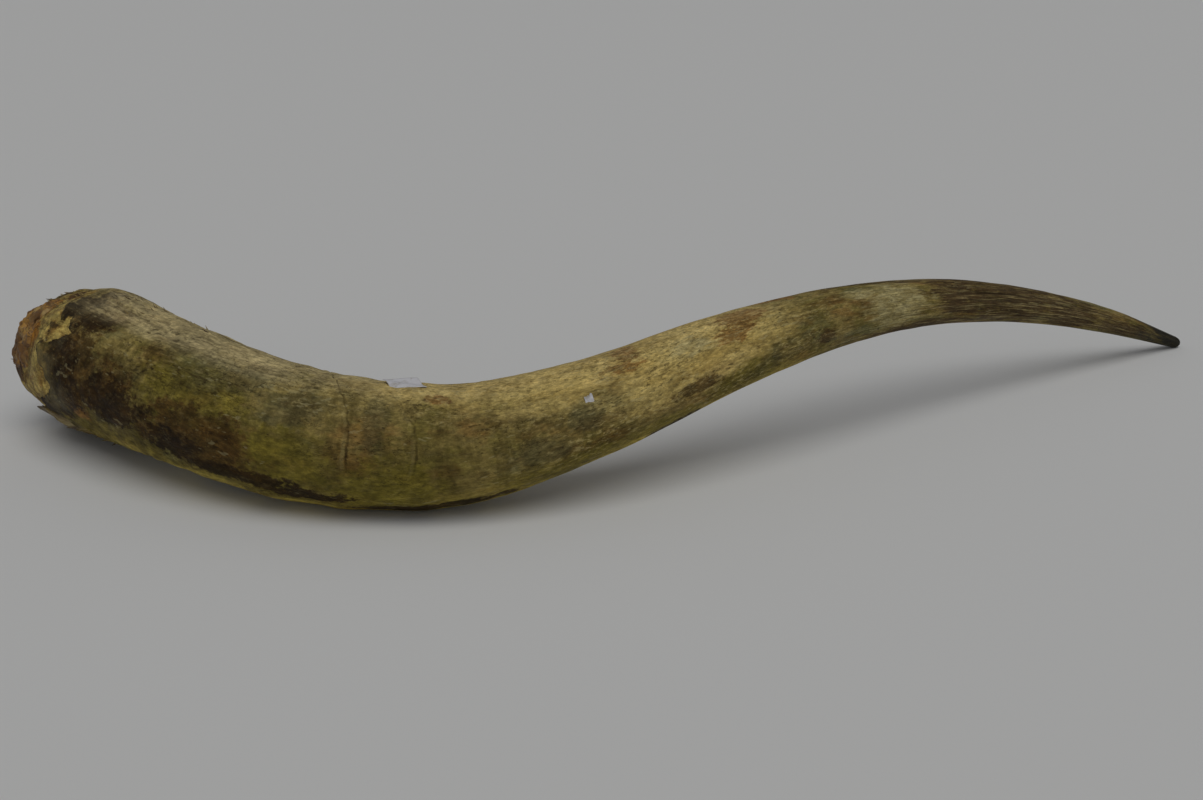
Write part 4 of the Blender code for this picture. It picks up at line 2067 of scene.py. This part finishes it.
@dataclass(frozen=True)
class TissueFinish:
    """Dried tissue: translucent-looking orange crust, brown where it is thick and black in its pits."""

    orange: Colour = tone(172, 126, 48)
    tan: Colour = tone(182, 156, 92)
    brown: Colour = tone(104, 70, 26)
    pit: Colour = tone(40, 26, 12)
    clouds: Cloud = Cloud(0.8, 0.4, 90.0, 6.0, 0.72)
    thin_places: Cloud = Cloud(0.9, 1.3, 80.0, 4.0, 0.6)

    def build(self, effects: Effects) -> bpy.types.Material:
        """Make the material.

        Args:
            effects: The shared effects.

        Returns:
            The material.
        """
        canvas = Canvas("dried tissue", effects)
        cloud = canvas.cloud(self.clouds)
        colour = canvas.mix(canvas.ramp(cloud, 0.38, 0.58), self.orange, self.brown)
        thin = canvas.cloud(self.thin_places)
        colour = canvas.mix(canvas.ramp(thin, 0.52, 0.66, 0.0, 0.7), colour, self.tan)
        rind = canvas.ramp(canvas.number(Zone.RIND.value), 0.30, 0.75, 0.0, 0.85)
        colour = canvas.mix(rind, colour, self.brown)
        dots = canvas.group(effects.specks, Grain=canvas.grain, Size=230.0, Cover=0.36)
        colour = canvas.mix(canvas.times(dots.outputs["Mask"], 0.65), colour, self.pit)
        creases = canvas.group(effects.veins, Grain=canvas.grain, Size=130.0, Stretch=0.9, Width=0.03)
        colour = canvas.mix(canvas.times(creases.outputs["Mask"], 0.7), colour, self.pit)
        # Painted shade: darker where the crust lies low
        deep = canvas.ramp(canvas.number("relief"), 0.9, 0.0, 0.0, 0.4)
        colour = canvas.mix(deep, colour, self.pit)
        canvas.coat(colour, canvas.ramp(cloud, 0.35, 0.65, 0.42, 0.66))
        canvas.emboss(canvas.noise(canvas.grain, 240.0, 5.0, 0.7), 0.7, 0.0022)
        return canvas.material


@dataclass(frozen=True)
class PaperFinish:
    """Blank white paper, a little creased and soiled."""

    white: Colour = tone(206, 205, 208)
    soiled: Colour = tone(164, 158, 148)
    roughness: float = 0.8

    def build(self) -> bpy.types.Material:
        """Make the material.

        Returns:
            The material.
        """
        canvas = Canvas("blank paper")
        cloud = canvas.noise(canvas.grain, 120.0, 4.0, 0.6)
        colour = canvas.mix(canvas.ramp(cloud, 0.45, 0.75), self.white, self.soiled)
        canvas.coat(colour, self.roughness)
        canvas.emboss(cloud, 0.4, 0.001)
        return canvas.material


@dataclass(frozen=True)
class FloorFinish:
    """A plain pale sheet."""

    colour: Colour = tone(222, 222, 220)
    roughness: float = 0.9

    def build(self) -> bpy.types.Material:
        """Make the material."""
        canvas = Canvas("pale sheet")
        canvas.coat(self.colour, self.roughness)
        return canvas.material


@dataclass(frozen=True)
class Studio:
    """A plain pale floor, soft light from above and the camera where the photograph was taken."""

    camera_place: tuple[float, float, float] = (-0.061, -1.302, 0.4456)
    camera_pitch: float = 18.0
    lens: float = 40.1
    sensor: float = 36.0
    sight: float = 200.0
    floor_reach: float = 40.0
    key_tilt: tuple[float, float] = (24.0, 8.0)
    key_spread: float = 50.0
    key_strength: float = 1.00
    fill_tilt: tuple[float, float] = (78.0, -6.0)
    fill_spread: float = 70.0
    fill_strength: float = 0.26
    sky: Colour = tone(250, 251, 255)
    sky_strength: float = 0.165

    def build(self) -> None:
        """Set up the floor, the light and the camera."""
        self._floor()
        self._sun("key", self.key_tilt, self.key_spread, self.key_strength)
        self._sun("fill", self.fill_tilt, self.fill_spread, self.fill_strength)
        self._sky()
        self._camera()
        bpy.context.scene.view_settings.view_transform = "Standard"

    def _floor(self) -> None:
        """Lay the floor."""
        square = np.array([(-1.0, -1.0, 0.0), (1.0, -1.0, 0.0), (1.0, 1.0, 0.0), (-1.0, 1.0, 0.0)])
        floor = object_from("floor", self.floor_reach * square, np.array([[0, 1, 2, 3]]), {})
        floor.data.materials.append(FloorFinish().build())

    @staticmethod
    def _sun(name: str, tilt: tuple[float, float], spread: float, strength: float) -> None:
        """Hang a broad light that shines the same way everywhere.

        Args:
            name: The light's name.
            tilt: How far it is turned from straight down, in degrees about X and Y.
            spread: How wide it looks, in degrees.
            strength: Its strength.
        """
        lamp = bpy.data.lights.new(name, "SUN")
        lamp.angle = math.radians(spread)
        lamp.energy = strength
        sun = bpy.data.objects.new(name, lamp)
        sun.rotation_euler = [math.radians(part) for part in tilt] + [0.0]
        bpy.context.scene.collection.objects.link(sun)

    def _sky(self) -> None:
        """Give soft light from all round."""
        world = bpy.data.worlds.new("soft light")
        world.use_nodes = True
        background = world.node_tree.nodes["Background"]
        background.inputs["Color"].default_value = self.sky
        background.inputs["Strength"].default_value = self.sky_strength
        bpy.context.scene.world = world

    def _camera(self) -> None:
        """Set the camera where the photograph was taken."""
        lens = bpy.data.cameras.new("camera")
        lens.sensor_fit = "HORIZONTAL"
        lens.sensor_width = self.sensor
        lens.lens = self.lens
        lens.clip_end = self.sight
        camera = bpy.data.objects.new("camera", lens)
        camera.location = self.camera_place
        camera.rotation_euler = (math.radians(90.0 - self.camera_pitch), 0.0, 0.0)
        bpy.context.scene.collection.objects.link(camera)
        bpy.context.scene.camera = camera


def main() -> None:
    """Build the horn's pieces and the studio."""
    logging.basicConfig(level=logging.INFO, format="%(message)s")
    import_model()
    low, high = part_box(NODE)

    effects = Effects()
    bare_horn = BareHornFinish().build(effects)
    form = HornForm(tuple(low), tuple(high))
    sheath = Sheath(form).build([HornFinish().build(effects), bare_horn])
    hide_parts(NODE)
    pieces = [sheath]
    pieces.append(RimTissue(form).build(TissueFinish().build(effects)))
    pieces.append(TornFlake(form).build(bare_horn))
    pieces.append(Slivers().build(sheath, bare_horn))
    pieces += PaperScraps(form).build(PaperFinish().build())
    for piece in pieces:
        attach(piece, BODY)
        triangles = sum(len(face.vertices) - 2 for face in piece.data.polygons)
        LOG.info("%s has %d triangles", piece.name, triangles)

    Studio().build()


if __name__ == "__main__":
    main()
